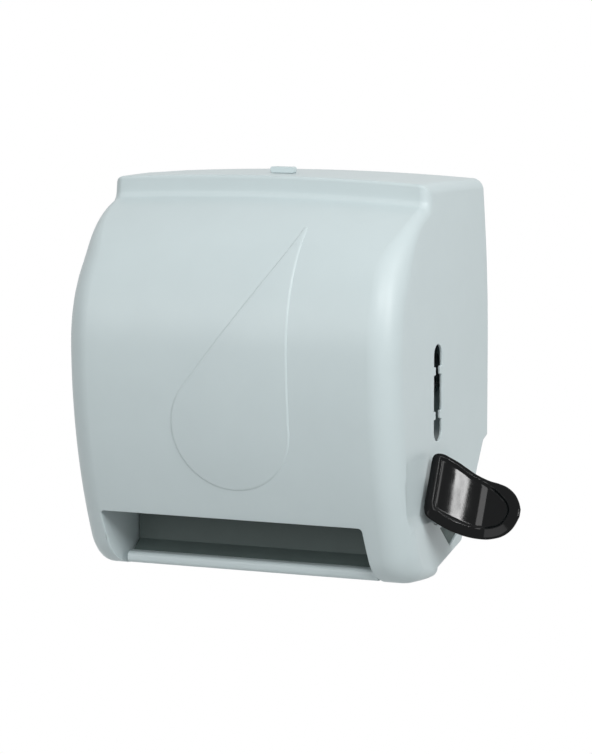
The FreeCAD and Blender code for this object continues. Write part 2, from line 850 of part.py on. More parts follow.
def back_plate():
    body = new_body("back_plate")
    half = size.plate_half_width
    across = size.screw_spacing_across / 2
    up = size.screw_spacing_up / 2
    screw_rings = [Ring(x, size.origin_height + z, size.screw_hole_radius)
                   for x in (-1 * across, across) for z in (-1 * up, up)]
    sheet_loop = rounded_rectangle(-1 * half, half, size.plate_foot, size.plate_top, 10.0)
    extrude(body, "front", [sheet_loop] + screw_rings, 0.0, size.plate_wall)
    rim_outer = rounded_rectangle(-1 * half, half, size.plate_foot, size.plate_top, 10.0)
    rim = size.tray_wall
    rim_inner = rounded_rectangle(-1 * half + rim, half - rim, size.plate_foot + rim, size.plate_top - rim, 7.5)
    rim_body = new_body("plate_rim")
    extrude(rim_body, "front", [rim_outer, rim_inner], size.plate_wall, size.plate_flange)
    step = block("foot_relief", -1 * size.tray_half_width - 1.0, size.tray_half_width + 1.0,
                 size.plate_wall, size.plate_flange + 1.0, size.plate_foot - 1.0, size.plate_foot + rim + 1.0)
    ribs = [block("rib", x - 1.0, x + 1.0, size.plate_wall, size.plate_wall + 5.0,
                  size.plate_foot + rim, size.plate_top - rim) for x in (-40.0, 40.0)]
    pads = [rod("screw_pad", "depth", x, size.origin_height + z, size.screw_hole_radius + 5.0,
                size.plate_wall, size.plate_wall + 2.0)
            for x in (-1 * across, across) for z in (-1 * up, up)]
    holes = [rod("screw_hole", "depth", x, size.origin_height + z, size.screw_hole_radius,
                 -1.0, size.plate_wall + 4.0)
             for x in (-1 * across, across) for z in (-1 * up, up)]
    lugs = []
    for side in (-1, 1):
        for direction in (-1, 1):
            low = size.knuckle_half_height + SEAT_GAP
            heights = sorted((size.roll_height + direction * low, size.roll_height + direction * (low + 7.0)),
                             key=number_of)
            middle = side * size.arm_pivot_out
            lugs.append(block("arm_lug", middle - 7.0, middle + 7.0, size.plate_wall,
                              size.arm_pivot_depth + size.knuckle_radius, *heights))
    pin_holes = [rod("pin_hole", "up", side * size.arm_pivot_out, size.arm_pivot_depth,
                     size.arm_pin_radius, size.roll_height - 60.0, size.roll_height + 60.0)
                 for side in (-1, 1)]
    pilots = [rod("pilot", "depth", side * (size.frame_inner - 7.0), height, size.screw_shank_radius,
                  1.0, size.plate_wall + 1.0) for side in (-1, 1) for height in FLANGE_SCREWS]
    solid = joined("plate_solid", body, rim_body, *ribs, *pads, *lugs)
    finish(without("back_plate", solid, step, *holes, *pin_holes, *pilots), "back_plate")


def lower_tray():
    """The sheet under the works: down from the wall, forward below the frames, and up into the lip."""
    wall = size.tray_wall
    body = new_body("lower_tray")
    outer = [
        (0.0, size.wall_foot - wall), (size.skirt_depth, size.skirt_height), (size.knee_depth, size.knee_height),
        (size.cheek_step_depth, size.cheek_step_height), (size.lip_back, size.lip_foot),
        (size.lip_front - 4.0, size.lip_foot, 4.0, "left"), (size.lip_front, size.lip_foot + 4.0),
        (size.lip_front, size.lip_top - 4.0, 4.0, "left"), (size.lip_front - 4.0, size.lip_top),
        (size.lip_back, size.lip_top),
        (size.lip_back, size.lip_foot + wall * 1.03),
        (size.cheek_step_depth + 0.3, size.cheek_step_height + wall * 1.03),
        (size.knee_depth + 1.4, size.knee_height + wall * 0.98),
        (size.skirt_depth + 1.7, size.skirt_height + wall * 0.85), (0.0, size.wall_foot),
    ]
    half = size.tray_half_width
    extrude(body, "side", [outer], -1 * half, half)
    tabs = []
    for side in (-1, 1):
        inner = side * (size.frame_inner - SEAT_GAP)
        across = sorted((inner, inner - side * 3.0), key=number_of)
        for depth, height in TRAY_TABS:
            tabs.append(block("tray_tab", across[0], across[1], depth - 7.0, depth + 7.0, 3.0, height + 6.0))
    under = slab("under_tray", "side", [[
        (-5.0, size.wall_foot - wall), (0.0, size.wall_foot - wall), (size.skirt_depth, size.skirt_height),
        (size.knee_depth, size.knee_height), (size.cheek_step_depth, size.cheek_step_height),
        (size.lip_back, size.lip_foot), (size.lip_back, -30.0), (-5.0, -30.0),
    ]], -1 * half - 5.0, half + 5.0)
    holes = [rod("tab_hole", "x", depth, height, size.screw_shank_radius, -1 * half, half)
             for depth, height in TRAY_TABS]
    finish(without("lower_tray", joined("tray_solid", body, *tabs), under, *holes), "lower_tray")


TRAY_TABS = ((75.0, 36.0), (130.0, 28.0))


def frame_profile():
    return [
        (size.plate_wall + SEAT_GAP, size.frame_back_top),
        (size.plate_wall + SEAT_GAP, size.wall_foot + 4.5),
        (size.skirt_depth + 3.5, size.skirt_height + 2.6),
        (size.knee_depth + 2.0, size.knee_height + 3.2),
        (size.cheek_step_depth + 0.5, size.cheek_step_height + 3.2),
        (size.guide_depth - SEAT_GAP, size.cheek_step_height - 2.9),
        (size.guide_depth - SEAT_GAP, size.frame_front_foot - 2.0),
        (size.guide_depth + 8.0, size.frame_front_foot),
        (size.frame_front, size.frame_front_foot),
        (size.frame_front, size.frame_front_top - 8.0),
        (size.frame_front - 8.0, size.frame_front_top),
        (size.pivot_depth + 6.0, size.frame_front_top + 10.0),
        (size.knee_depth, size.frame_front_top + 18.0),
    ]


def feed_depth():
    return size.pivot_depth - gear_distance() * cosine_of(size.mesh_angle)


def feed_height():
    return size.pivot_height + gear_distance() * sine_of(size.mesh_angle)


def gear_distance():
    return size.gear_module * (size.sector_teeth + size.pinion_teeth) / 2


def pinch_depth():
    """The pinch roller is behind the feed roller, where a pull on the lever drives the paper down."""
    return feed_depth() - size.feed_radius - size.pinch_radius - size.nip_gap


def leaf_front():
    return pinch_depth() - size.pinch_shaft_radius - SEAT_GAP


def bar_spans():
    """Label, back, front, foot and top of the two bars between the side frames."""
    spring_front = leaf_front() - size.leaf_wall
    return (
        ("cross_bar", size.bar_back, size.bar_front, size.bar_foot, size.bar_top),
        ("spring_bar", spring_front - size.spring_bar_width, spring_front,
         size.spring_bar_foot, size.spring_bar_foot + size.spring_bar_width),
    )


def tenons(span, spare):
    """A bar's end tenons, or the slots that take them when they are given some spare room."""
    _, back, front, foot, top = span
    depth = (back + front) / 2
    height = (foot + top) / 2
    half_depth = size.tenon_width / 2 + spare
    half_height = size.tenon_height / 2 + spare
    blocks = []
    for side in (-1, 1):
        low, high = sorted((side * (size.frame_inner - 2.0), side * (size.frame_inner + size.frame_wall)),
                           key=number_of)
        blocks.append(block("tenon", low, high, depth - half_depth, depth + half_depth,
                            height - half_height, height + half_height))
    return blocks


def side_frame(side):
    """A side plate with its screw flange. The right one carries the gears, the left one the cover's boss."""
    name = "left" if side < 0 else "right"
    low, high = sorted((side * size.frame_inner, side * (size.frame_inner + size.frame_wall)), key=number_of)
    plate = slab("side_plate", "side", [frame_profile()], low, high)
    flange_edges = sorted((side * (size.frame_inner + size.frame_wall), side * (size.frame_inner - 14.0)),
                          key=number_of)
    flange = block("frame_flange", flange_edges[0], flange_edges[1], size.plate_wall + SEAT_GAP,
                   size.plate_wall + SEAT_GAP + 3.0, size.wall_foot + 5.0, size.frame_back_top)
    pieces = [plate, flange]
    holes = [
        rod("feed_hole", "x", feed_depth(), feed_height(), size.feed_shaft_radius + size.feed_bush_wall,
            low - 1.0, high + 1.0),
        rod("pinch_hole", "x", pinch_depth(), feed_height(), size.pinch_shaft_radius + size.pinch_bush_wall,
            low - 1.0, high + 1.0),
    ]
    for tab_depth, tab_height in TRAY_TABS:
        holes.append(rod("tab_hole", "x", tab_depth, tab_height, size.screw_shank_radius, low - 1.0, high + 1.0))
    for height in FLANGE_SCREWS:
        holes.append(rod("flange_hole", "depth", side * (size.frame_inner - 7.0), height,
                         size.screw_shank_radius, 0.0, 20.0))
    for span in bar_spans():
        holes += tenons(span, TENON_GAP)
    if side < 0:
        start = -1 * size.frame_inner
        pieces.append(rod("left_boss", "x", size.pivot_depth, size.pivot_height, size.left_boss_radius,
                          -1 * size.left_boss_end, start))
        holes.append(rod("boss_core", "x", size.pivot_depth, size.pivot_height, size.left_boss_radius - 3.0,
                         start - size.frame_wall - 8.0, start + 1.0))
    else:
        holes.append(rod("shaft_hole", "x", size.pivot_depth, size.pivot_height,
                         size.shaft_radius + size.running_clearance, low - 1.0, high + 1.0))
        for depth, height in housing_posts():
            holes.append(rod("post_hole", "x", depth, height, size.screw_shank_radius, low - 1.0, high + 1.0))
    finish(without(f"side_frame_{name}", joined("frame_solid", *pieces), *holes), f"side_frame_{name}")


FLANGE_SCREWS = (122.0, 148.0)


def housing_posts():
    """Depth and height of the three posts that hold the gear housing off the side frame."""
    return (
        (size.pivot_depth - size.back_post_behind, size.pivot_height + size.back_post_rise),
        (size.pivot_depth + size.upper_post_before, size.pivot_height + size.upper_post_rise),
        (size.frame_front - size.fore_post_inset, size.pivot_height + size.fore_post_rise),
    )


def gear_housing():
    """The plate outside the gears, its posts, and the boss that carries the lever's bush and the cover."""
    low = size.housing_low
    high = low + size.housing_wall
    depth = size.pivot_depth
    height = size.pivot_height
    back, upper, fore = housing_posts()
    margin = size.housing_margin
    around_boss = size.boss_radius + margin / 2
    plate_loop = [
        (back[0] - margin, back[1] - margin), (back[0] - margin, back[1] + margin),
        (upper[0] - margin, upper[1] + margin), (upper[0] + margin, upper[1] + margin),
        (fore[0] + margin, fore[1] + margin), (fore[0] + margin, fore[1] - margin),
        (depth + around_boss, height - margin), (depth + margin, height - around_boss),
        (depth - size.boss_radius, height - around_boss),
    ]
    plate = slab("housing_plate", "side", [plate_loop], low, high)
    boss = rod("housing_boss", "x", depth, height, size.boss_radius, low, size.boss_end)
    posts = [rod("post", "x", d, z, size.post_radius, size.frame_inner + size.frame_wall, high)
             for d, z in housing_posts()]
    holes = [rod("post_bore", "x", d, z, size.screw_shank_radius, size.frame_inner, low) for d, z in housing_posts()]
    bore = rod("boss_bore", "x", depth, height, size.bush_radius, low - 1.0, size.boss_end + 1.0)
    end_hole = rod("feed_end", "x", feed_depth(), feed_height(),
                   size.feed_shaft_radius + size.running_clearance, low - 1.0, high + 1.0)
    finish(without("gear_housing", joined("housing_solid", plate, boss, *posts), *holes, bore, end_hole),
           "gear_housing")


def chassis_screws():
    inner = size.frame_inner
    post_screws = [screw("post_screw", "x", d, z, inner - size.screw_head_height, True,
                         size.post_screw_length)
                   for d, z in housing_posts()]
    finish(grouped("housing_screws", *post_screws), "housing_screws")
    flange_front = size.plate_wall + SEAT_GAP + 3.0
    flange_screws = [screw("flange_screw", "depth", side * (inner - 7.0), height, flange_front, False, 5.0)
                     for side in (-1, 1) for height in FLANGE_SCREWS]
    finish(grouped("frame_screws", *flange_screws), "frame_screws")
    tab_screws = []
    for depth, height in TRAY_TABS:
        head = inner - SEAT_GAP - 3.0
        tab_screws.append(screw("tab_screw", "x", depth, height, head - size.screw_head_height, True, 6.0))
        tab_screws.append(screw("tab_screw", "x", depth, height, -1 * head, False, 6.0))
    finish(grouped("tray_screws", *tab_screws), "tray_screws")


def paper_guide():
    """The dark plate behind the outlet, upright and then sloping forward to the lip."""
    near = size.guide_depth
    far = near + size.guide_wall
    step = size.frame_front_foot - 2.5
    loop = [
        (near, 19.0), (size.lip_back - SEAT_GAP, 9.6), (size.lip_back - SEAT_GAP, 11.6),
        (far, 20.2), (far, step), (near, step),
    ]
    half = size.tray_half_width
    body = slab("paper_guide", "side", [loop], -1 * half, half)
    inner = size.frame_inner - SEAT_GAP
    upper = rectangle(near, far, step - 1.0, size.guide_top)
    extrude(body, "side", [upper], -1 * inner, inner)
    finish(body, "paper_guide")


def cross_bars():
    """Two channel bars, open at the top, that join the side frames by tenons."""
    inner = size.frame_inner - TENON_GAP
    wall = size.bar_wall
    for span in bar_spans():
        label, back, front, foot, top = span
        bar = block(label, -1 * inner, inner, back, front, foot, top)
        hollow = block("bar_hollow", -1 * inner + 2 * wall, inner - 2 * wall, back + wall, front - wall,
                       foot + wall, top + 1.0)
        holes = []
        if label == "cross_bar":
            holes = [rod("blade_hole", "depth", x, blade_screw_height(), size.screw_shank_radius,
                         front - 2 * wall, front + 1.0) for x in blade_screws()]
        finish(without(label, joined("bar_solid", bar, *tenons(span, 0.0)), hollow, *holes), label)


def blade_screws():
    """Where the tear bar's screws stand along it."""
    return (-1 * size.blade_screw_out, 0.0, size.blade_screw_out)


def blade_screw_height():
    return size.bar_foot + size.blade_screw_rise


def tear_bar():
    """A steel blade with a row of teeth along its foot."""
    body = new_body("tear_bar")
    half = size.blade_half_width
    top = size.bar_top - 1.0
    rings = [Ring(x, blade_screw_height(), size.screw_shank_radius + TENON_GAP) for x in blade_screws()]
    extrude(body, "front", [rectangle(-1 * half, half, size.blade_foot, top)] + rings,
            size.bar_front, size.bar_front + size.blade_wall)
    notch = [(-1 * half, size.blade_foot - 1.0), (-1 * half + size.tooth_pitch, size.blade_foot - 1.0),
             (-1 * half + size.tooth_pitch / 2, size.blade_foot + size.tooth_depth)]
    pocket = extrude(body, "front", [notch], size.bar_front - 1.0, size.bar_front + size.blade_wall + 1.0,
                     cut=True)
    pattern = body.newObject("PartDesign::LinearPattern", fresh_name("pattern"))
    pattern.Originals = [pocket]
    axis = {feature.Role: feature for feature in body.Origin.OriginFeatures}["X_Axis"]
    pattern.Direction = (axis, [""])
    count = int(round(2 * number_of(half) / number_of(size.tooth_pitch)))
    bind(pattern, "Length", size.tooth_pitch * (count - 1))
    pattern.Occurrences = count
    body.Tip = pattern
    document.recompute()
    finish(body, "tear_bar")
    head = size.bar_front + size.blade_wall
    screws = [screw("blade_screw", "depth", x, blade_screw_height(), head, False,
                    size.blade_screw_length) for x in blade_screws()]
    finish(grouped("tear_bar_screws", *screws), "tear_bar_screws")


# Rollers

def sleeve_spans():
    half = size.sleeve_length / 2
    return [(place * size.sleeve_pitch - half, place * size.sleeve_pitch + half) for place in (-1, 0, 1)]


def feed_roller():
    depth = feed_depth()
    height = feed_height()
    end = size.housing_low + size.housing_wall
    shaft = rod("feed_rod", "x", depth, height, size.feed_shaft_radius,
                -1 * size.frame_inner - size.frame_wall - 1.5, end)
    finish(grouped("feed_shaft", shaft), "feed_shaft")
    sleeves = [tube("feed_sleeve", "x", depth, height, size.feed_radius, size.feed_shaft_radius, low, high)
               for low, high in sleeve_spans()]
    finish(grouped("feed_sleeves", *sleeves), "feed_sleeves")
    finish(tube("one_way_clutch", "x", depth, height, size.clutch_radius, size.feed_shaft_radius,
                size.gear_low, size.gear_low + size.gear_width), "one_way_clutch")


def pinch_roller():
    depth = pinch_depth()
    height = feed_height()
    end = size.frame_inner + size.frame_wall + 1.5
    shaft = rod("pinch_rod", "x", depth, height, size.pinch_shaft_radius, -1 * end, end)
    finish(grouped("pinch_shaft", shaft), "pinch_shaft")
    sleeves = [tube("pinch_sleeve", "x", depth, height, size.pinch_radius, size.pinch_shaft_radius, low, high)
               for low, high in sleeve_spans()]
    finish(grouped("pinch_sleeves", *sleeves), "pinch_sleeves")


def bushes():
    clear = size.running_clearance
    for label, depth, radius, wall in (
            ("feed_bushes", feed_depth(), size.feed_shaft_radius, size.feed_bush_wall),
            ("pinch_bushes", pinch_depth(), size.pinch_shaft_radius, size.pinch_bush_wall)):
        pieces = []
        for side in (-1, 1):
            low, high = sorted((side * size.frame_inner, side * (size.frame_inner + size.frame_wall)),
                               key=number_of)
            sleeve = rod("bush", "x", depth, feed_height(), radius + wall, low, high)
            rim_low, rim_high = sorted((side * size.frame_inner, side * (size.frame_inner - size.bush_rim_wall)),
                                       key=number_of)
            rim = rod("bush_rim", "x", depth, feed_height(), radius + wall + size.bush_rim_height,
                      rim_low, rim_high)
            bore = rod("bush_bore", "x", depth, feed_height(), radius + clear, low - 5.0, high + 5.0)
            pieces.append(without("bush", joined("bush", sleeve, rim), bore))
        finish(grouped(label, *pieces), label)


def pinch_springs():
    """Two leaf springs that stand on the spring bar's face and press the pinch shaft's ends."""
    outer = size.frame_inner - size.leaf_inset
    foot = size.spring_bar_foot + 1.0
    leaves = []
    for side in (-1, 1):
        low, high = sorted((side * (outer - size.leaf_width), side * outer), key=number_of)
        leaves.append(block("leaf", low, high, leaf_front() - size.leaf_wall, leaf_front(),
                            foot, feed_height() + size.pinch_shaft_radius + 3.0))
    finish(grouped("pinch_springs", *leaves), "pinch_springs")


# Lever, its shaft and its gear sector

def gear_shape(teeth, backlash):
    """An involute gear face about the origin, with one tooth's middle on the first axis."""
    module = number_of(size.gear_module)
    pitch_radius = module * teeth / 2
    pressure = math.radians(25)
    base_radius = pitch_radius * math.cos(pressure)
    tip_radius = pitch_radius + 0.8 * module
    root_radius = pitch_radius - 1.15 * module
    half_tooth = (math.pi * module / 2 - backlash) / (2 * pitch_radius)

    def flank_angle(radius):
        """Half the tooth's angle at a radius."""
        if radius <= base_radius:
            radius = base_radius
        turn = math.acos(base_radius / radius)
        return half_tooth + (math.tan(pressure) - pressure) - (math.tan(turn) - turn)

    start = max(root_radius, base_radius)
    radii = [root_radius] + [start + (tip_radius - start) * step / 4 for step in range(5)]
    points = []
    for tooth in range(int(teeth)):
        middle = 2 * math.pi * tooth / teeth
        rising = [(radius, middle - flank_angle(radius)) for radius in radii]
        falling = [(radius, middle + flank_angle(radius)) for radius in reversed(radii)]
        points += [FreeCAD.Vector(r * math.cos(a), r * math.sin(a), 0) for r, a in rising + falling]
    clean = [points[0]]
    for point in points[1:]:
        if point.distanceToPoint(clean[-1]) > 1e-4:
            clean.append(point)
    return Part.Face(Part.makePolygon(clean + [clean[0]]))


def gear_solid(teeth, backlash, turn, bore):
    """A gear whose axis is X, standing on the gears' inner plane, turned so that teeth fall in mesh."""
    width = number_of(size.gear_width)
    solid = gear_shape(teeth, backlash).extrude(FreeCAD.Vector(0, 0, width))
    solid = solid.cut(Part.makeCylinder(number_of(bore), width))
    solid.rotate(FreeCAD.Vector(), FreeCAD.Vector(0, 0, 1), turn)
    # The gear's own first axis becomes +Y and its second one +Z
    to_side = FreeCAD.Rotation(FreeCAD.Vector(0, 1, 0), FreeCAD.Vector(0, 0, 1), FreeCAD.Vector(1, 0, 0), "ZXY")
    solid.Placement = FreeCAD.Placement(FreeCAD.Vector(), to_side).multiply(solid.Placement)
    return solid


def gears():
    low = number_of(size.gear_low)
    width = number_of(size.gear_width)
    angle = number_of(size.mesh_angle)
    sector_teeth = int(number_of(size.sector_teeth))
    pinion_teeth = int(number_of(size.pinion_teeth))
    backlash = 0.28
    full = gear_solid(sector_teeth, backlash, angle, size.shaft_radius)
    outer = number_of(size.gear_module) * (sector_teeth / 2 + 2)
    wedge_points = [FreeCAD.Vector(0, 0, 0)]
    for degrees in range(62, 155, 6):
        turn = math.radians(degrees)
        wedge_points.append(FreeCAD.Vector(0, 1.2 * outer * math.cos(turn), 1.2 * outer * math.sin(turn)))
    wedge = Part.Face(Part.makePolygon(wedge_points + [wedge_points[0]])).extrude(FreeCAD.Vector(width, 0, 0))
    hub = Part.makeCylinder(number_of(size.bush_flange), width, FreeCAD.Vector(), FreeCAD.Vector(1, 0, 0))
    bore = Part.makeCylinder(number_of(size.shaft_radius), width, FreeCAD.Vector(), FreeCAD.Vector(1, 0, 0))
    sector_shape = full.common(wedge).fuse(hub).cut(bore).removeSplitter()
    sector = document.addObject("Part::Feature", "sector_gear_shape")
    sector.Shape = sector_shape
    place = FreeCAD.Vector(low, -number_of(size.pivot_depth), number_of(size.pivot_height))
    sector.Placement = FreeCAD.Placement(place, FreeCAD.Rotation())
    finish_shape(sector, "sector_gear", place)
    pinion_angle = angle + 180 + 180 / pinion_teeth
    pinion = document.addObject("Part::Feature", "feed_pinion_shape")
    pinion.Shape = gear_solid(pinion_teeth, backlash, pinion_angle, size.clutch_radius)
    place = FreeCAD.Vector(low, -number_of(feed_depth()), number_of(feed_height()))
    finish_shape(pinion, "feed_pinion", place)


def finish_shape(thing, label, place):
    """Name a made shape and set its place, dropped to the origin."""
    thing.Label = label
    drop = FreeCAD.Vector(0, 0, number_of(size.origin_height))
    turn = thing.Placement.Rotation
    thing.Placement = FreeCAD.Placement(place - drop, turn)
    nodes.append(thing)


def lever_shaft():
    depth = size.pivot_depth
    height = size.pivot_height
    shaft = rod("lever_rod", "x", depth, height, size.shaft_radius, size.frame_inner, size.lever_hub_end - 3.0)
    finish(grouped("lever_shaft", shaft), "lever_shaft")
    low = size.housing_low
    sleeve = rod("bush_sleeve", "x", depth, height, size.bush_radius, low, size.boss_end)
    flange = rod("bush_collar", "x", depth, height, size.bush_flange, size.boss_end, size.boss_end + 1.0)
    bore = rod("bush_hole", "x", depth, height, size.shaft_radius + size.running_clearance,
               low - 1.0, size.boss_end + 3.0)
    finish(without("lever_bush", joined("bush", sleeve, flange), bore), "lever_bush")
    finish(coil("lever_spring", "x", depth, height, size.shaft_radius + 3.0, size.spring_wire_radius,
                size.frame_inner + size.frame_wall + 0.2, size.gear_low - 0.2, 5), "lever_spring")


def lever():
    """The hand lever, drawn square to itself and then leaned back about its pivot."""
    root = size.lever_root
    run = size.lever_bend
    drop = size.lever_drop
    bend = (run * run / 4 + drop * drop / 4) / drop
    start = size.lever_offset
    end = size.lever_offset - drop
    middle = (root + 1.0 + run / 2, (start + end) / 2)
    sheet = size.lever_sheet
    top_root = root + 1.0
    flat = root + 1.0 + run
    tip = size.lever_tip + 4.0
    # Sine and cosine of the S-bend's steepest slope, which is at its middle
    slope_sine = run / (2 * bend)
    slope_cosine = 1 - drop / (2 * bend)
    # Looking down the paddle's own length: X against the offset in front of the pivot
    body = new_body("lever_sheet")
    paddle = [
        (root, start), (top_root, start, bend, "right"), (middle[0], middle[1], bend, "left"),
        (flat, end), (tip, end), (tip, end - sheet), (flat, end - sheet, bend + sheet, "right"),
        (middle[0] - sheet * slope_sine, middle[1] - sheet * slope_cosine, bend - sheet, "left"),
        (top_root, start - sheet), (root, start - sheet),
    ]
    extrude(body, "top", [paddle], -60.0, 70.0)
    top = size.lever_top_root
    foot = size.lever_foot_root
    top_tip = size.lever_top_tip
    foot_tip = size.lever_foot_tip
    ease = 14.0
    outline = [
        (root, foot + 6.0), (root + 8.0, foot - 1.5), (flat - ease, foot_tip + 0.5), (flat - 3.0, foot_tip),
        (size.lever_tip - size.lever_tip_radius, foot_tip, size.lever_tip_radius, "left"),
        (size.lever_tip, foot_tip + size.lever_tip_radius),
        (size.lever_tip, top_tip - size.lever_tip_radius, size.lever_tip_radius, "left"),
        (size.lever_tip - size.lever_tip_radius, top_tip),
        (flat - 4.0, top_tip + 1.5), (root + 22.0, top - 3.0), (root + 10.0, top + 1.0), (root + 4.0, top + 0.5),
        (root, top - 3.0),
    ]
    mask = slab("lever_outline", "front", [outline], -60.0, 80.0)
    paddle_solid = shared("paddle", body, mask)
    hub = rod("lever_hub", "x", 0.0, 0.0, size.lever_hub_radius, size.boss_end + 1.0 + SEAT_GAP,
              size.lever_hub_end)
    arm = slab("lever_arm", "side", [[
        (0.0, -11.0), (size.lever_offset - 2.0, -8.0), (size.lever_offset - 2.0, 20.0), (0.0, 11.0),
    ]], root + 0.2, root + 8.2)
    bore = rod("lever_bore", "x", 0.0, 0.0, size.shaft_radius, size.boss_end, size.lever_hub_end - 3.0)
    screw_hole = rod("screw_bore", "x", 0.0, 0.0, size.screw_shank_radius + 0.1, size.boss_end, size.lever_hub_end + 1.0)
    whole = without("lever", joined("lever_solid", paddle_solid, hub, arm), bore, screw_hole)
    whole.Label = "hand_lever"
    whole.Placement = FreeCAD.Placement(FreeCAD.Vector(), FreeCAD.Rotation(FreeCAD.Vector(-1, 0, 0), 1.0))
    bind(whole, "Placement.Rotation.Angle", size.lever_lean)
    bind(whole, "Placement.Base.y", -1 * size.pivot_depth)
    bind(whole, "Placement.Base.z", size.pivot_height - size.origin_height)
    nodes.append(whole)
    cap_screw = screw("lever_screw", "x", size.pivot_depth, size.pivot_height, size.lever_hub_end, False, 2.9)
    finish(cap_screw, "lever_screw")


# Roll arms, their hinge pins and springs, and the plugs that turn in the roll's core

def roll_arm(side):
    name = "left" if side < 0 else "right"
    low, high = sorted((side * size.arm_inner, side * (size.arm_inner + size.arm_wall)), key=number_of)
    pivot_x = side * size.arm_pivot_out
    depth = size.arm_pivot_depth
    middle = size.roll_height
    reach = size.roll_depth
    web = [
        (depth, middle - 15.0), (reach - 10.0, middle - 11.0), (reach, middle - 14.0, 14.0, "left"),
        (reach + 14.0, middle, 14.0, "left"), (reach, middle + 14.0), (reach - 10.0, middle + 11.0),
        (depth, middle + 15.0),
    ]
    plate = slab("arm_plate", "side", [web], low, high)
    bridge_low, bridge_high = sorted((side * size.arm_inner, pivot_x), key=number_of)
    pieces = [plate]
    for direction in (-1, 1):
        far = size.knuckle_half_height
        near = far - size.knuckle_height
        heights = sorted((middle + direction * near, middle + direction * far), key=number_of)
        pieces.append(rod("knuckle", "up", pivot_x, depth, size.knuckle_radius, *heights))
        pieces.append(block("knuckle_web", bridge_low, bridge_high, depth - size.knuckle_radius,
                            depth + size.knuckle_radius, *heights))
    boss_low, boss_high = sorted((side * size.arm_inner, side * (size.arm_inner + size.arm_wall + 3.0)),
                                 key=number_of)
    pieces.append(rod("pin_boss", "x", reach, middle, 8.0, boss_low, boss_high))
    trough = rod("spring_room", "up", pivot_x, depth, size.knuckle_radius + 1.5,
                 middle - size.knuckle_half_height + size.knuckle_height,
                 middle + size.knuckle_half_height - size.knuckle_height)
    pin_hole = rod("pin_hole", "up", pivot_x, depth, size.arm_pin_radius + size.running_clearance,
                   middle - 40.0, middle + 40.0)
    plug_hole = rod("plug_hole", "x", reach, middle, size.plug_pin_radius, boss_low - 1.0, boss_high + 1.0)
    finish(without(f"roll_arm_{name}", joined("arm_solid", *pieces), trough, pin_hole, plug_hole),
           f"roll_arm_{name}")
    far_out = size.knuckle_half_height + SEAT_GAP + 7.0
    pin = rod("arm_pin", "up", pivot_x, depth, size.arm_pin_radius, middle - far_out, middle + far_out)
    head = rod("arm_pin_head", "up", pivot_x, depth, size.arm_pin_radius + 1.5, middle + far_out,
               middle + far_out + 1.5)
    finish(joined("arm_pin", pin, head), f"arm_pin_{name}")
    spring_half = size.knuckle_half_height - size.knuckle_height - SEAT_GAP
    finish(coil("arm_spring", "up", pivot_x, depth, size.arm_pin_radius + 1.8, size.spring_wire_radius,
                middle - spring_half, middle + spring_half, 14), f"arm_spring_{name}")


def core_plug(side):
    """A flanged plug that turns on a steel pin and holds one end of the roll's core."""
    name = "left" if side < 0 else "right"
    face = size.arm_inner - SEAT_GAP
    flange_out = face
    flange_in = face - 3.0
    nose = flange_in - size.plug_length
    depth = size.roll_depth
    height = size.roll_height

    def span(near, far):
        return sorted((side * near, side * far), key=number_of)

    flange = rod("plug_flange", "x", depth, height, size.plug_flange_radius, *span(flange_in, flange_out))
    barrel = rod("plug_barrel", "x", depth, height, size.plug_radius, *span(nose + 4.0, flange_in))
    low, high = span(nose, nose + 4.0)
    radii = (size.plug_radius, size.plug_radius - 3.0) if side < 0 else (size.plug_radius - 3.0, size.plug_radius)
    tip = cone("plug_tip", "x", depth, height, radii[0], radii[1], low, high)
    well_low, well_high = span(nose - 1.0, nose + 9.0)
    well = rod("plug_well", "x", depth, height, size.plug_radius - 5.0, well_low, well_high)
    bore = rod("plug_bore", "x", depth, height, size.plug_pin_radius + size.running_clearance,
               *span(nose - 1.0, face + 1.0))
    finish(without(f"core_plug_{name}", joined("plug_solid", flange, barrel, tip), well, bore),
           f"core_plug_{name}")
    pin_low, pin_high = span(nose + 7.0, size.arm_inner + size.arm_wall + 3.0)
    pin = rod("plug_pin", "x", depth, height, size.plug_pin_radius, pin_low, pin_high)
    cap_low, cap_high = span(nose + 7.0, nose + 8.8)
    cap_disc = rod("plug_pin_cap", "x", depth, height, size.plug_pin_radius + 2.0, cap_low, cap_high)
    finish(joined("plug_pin", pin, cap_disc), f"plug_pin_{name}")


front_cover()
slide_lock()
lock_catch()
back_plate()
lower_tray()
for frame_side in (-1, 1):
    side_frame(frame_side)
gear_housing()
chassis_screws()
paper_guide()
cross_bars()
tear_bar()
feed_roller()
pinch_roller()
bushes()
pinch_springs()
gears()
lever_shaft()
lever()
for arm_side in (-1, 1):
    roll_arm(arm_side)
    core_plug(arm_side)

document.recompute()

faults = [thing.Name for thing in document.Objects if "Invalid" in thing.State or "Error" in thing.State]
for node in nodes:
    shape = node.Shape
    if shape.isNull() or not shape.isValid() or not shape.Solids:
        faults.append(node.Label)
if faults:
    raise RuntimeError(f"these did not build: {sorted(set(faults))}")

os.makedirs("parts", exist_ok=True)
for node in nodes:
    node.Shape.exportStep(f"parts/{node.Label}.step")
    box = node.Shape.BoundBox
    print(f"{node.Label}: {len(node.Shape.Solids)} solids, {node.Shape.Volume:.0f} mm3, "
          f"x {box.XMin:.1f}..{box.XMax:.1f}, y {box.YMin:.1f}..{box.YMax:.1f}, z {box.ZMin:.1f}..{box.ZMax:.1f}")
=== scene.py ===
"""A wall-hung lever paper towel dispenser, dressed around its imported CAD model.

Places are written as the maker would: X to the viewer's right, a depth out of the wall and a
height above the foot of the cover's cheeks, all in millimetres, and turned to metres once.
"""

import json
import logging
import math
from collections.abc import Iterable
from dataclasses import dataclass, field
from enum import Enum

import bmesh
import bpy
from bmesh.types import BMesh, BMVert
from mathutils import Matrix, Vector
from mathutils.kdtree import KDTree


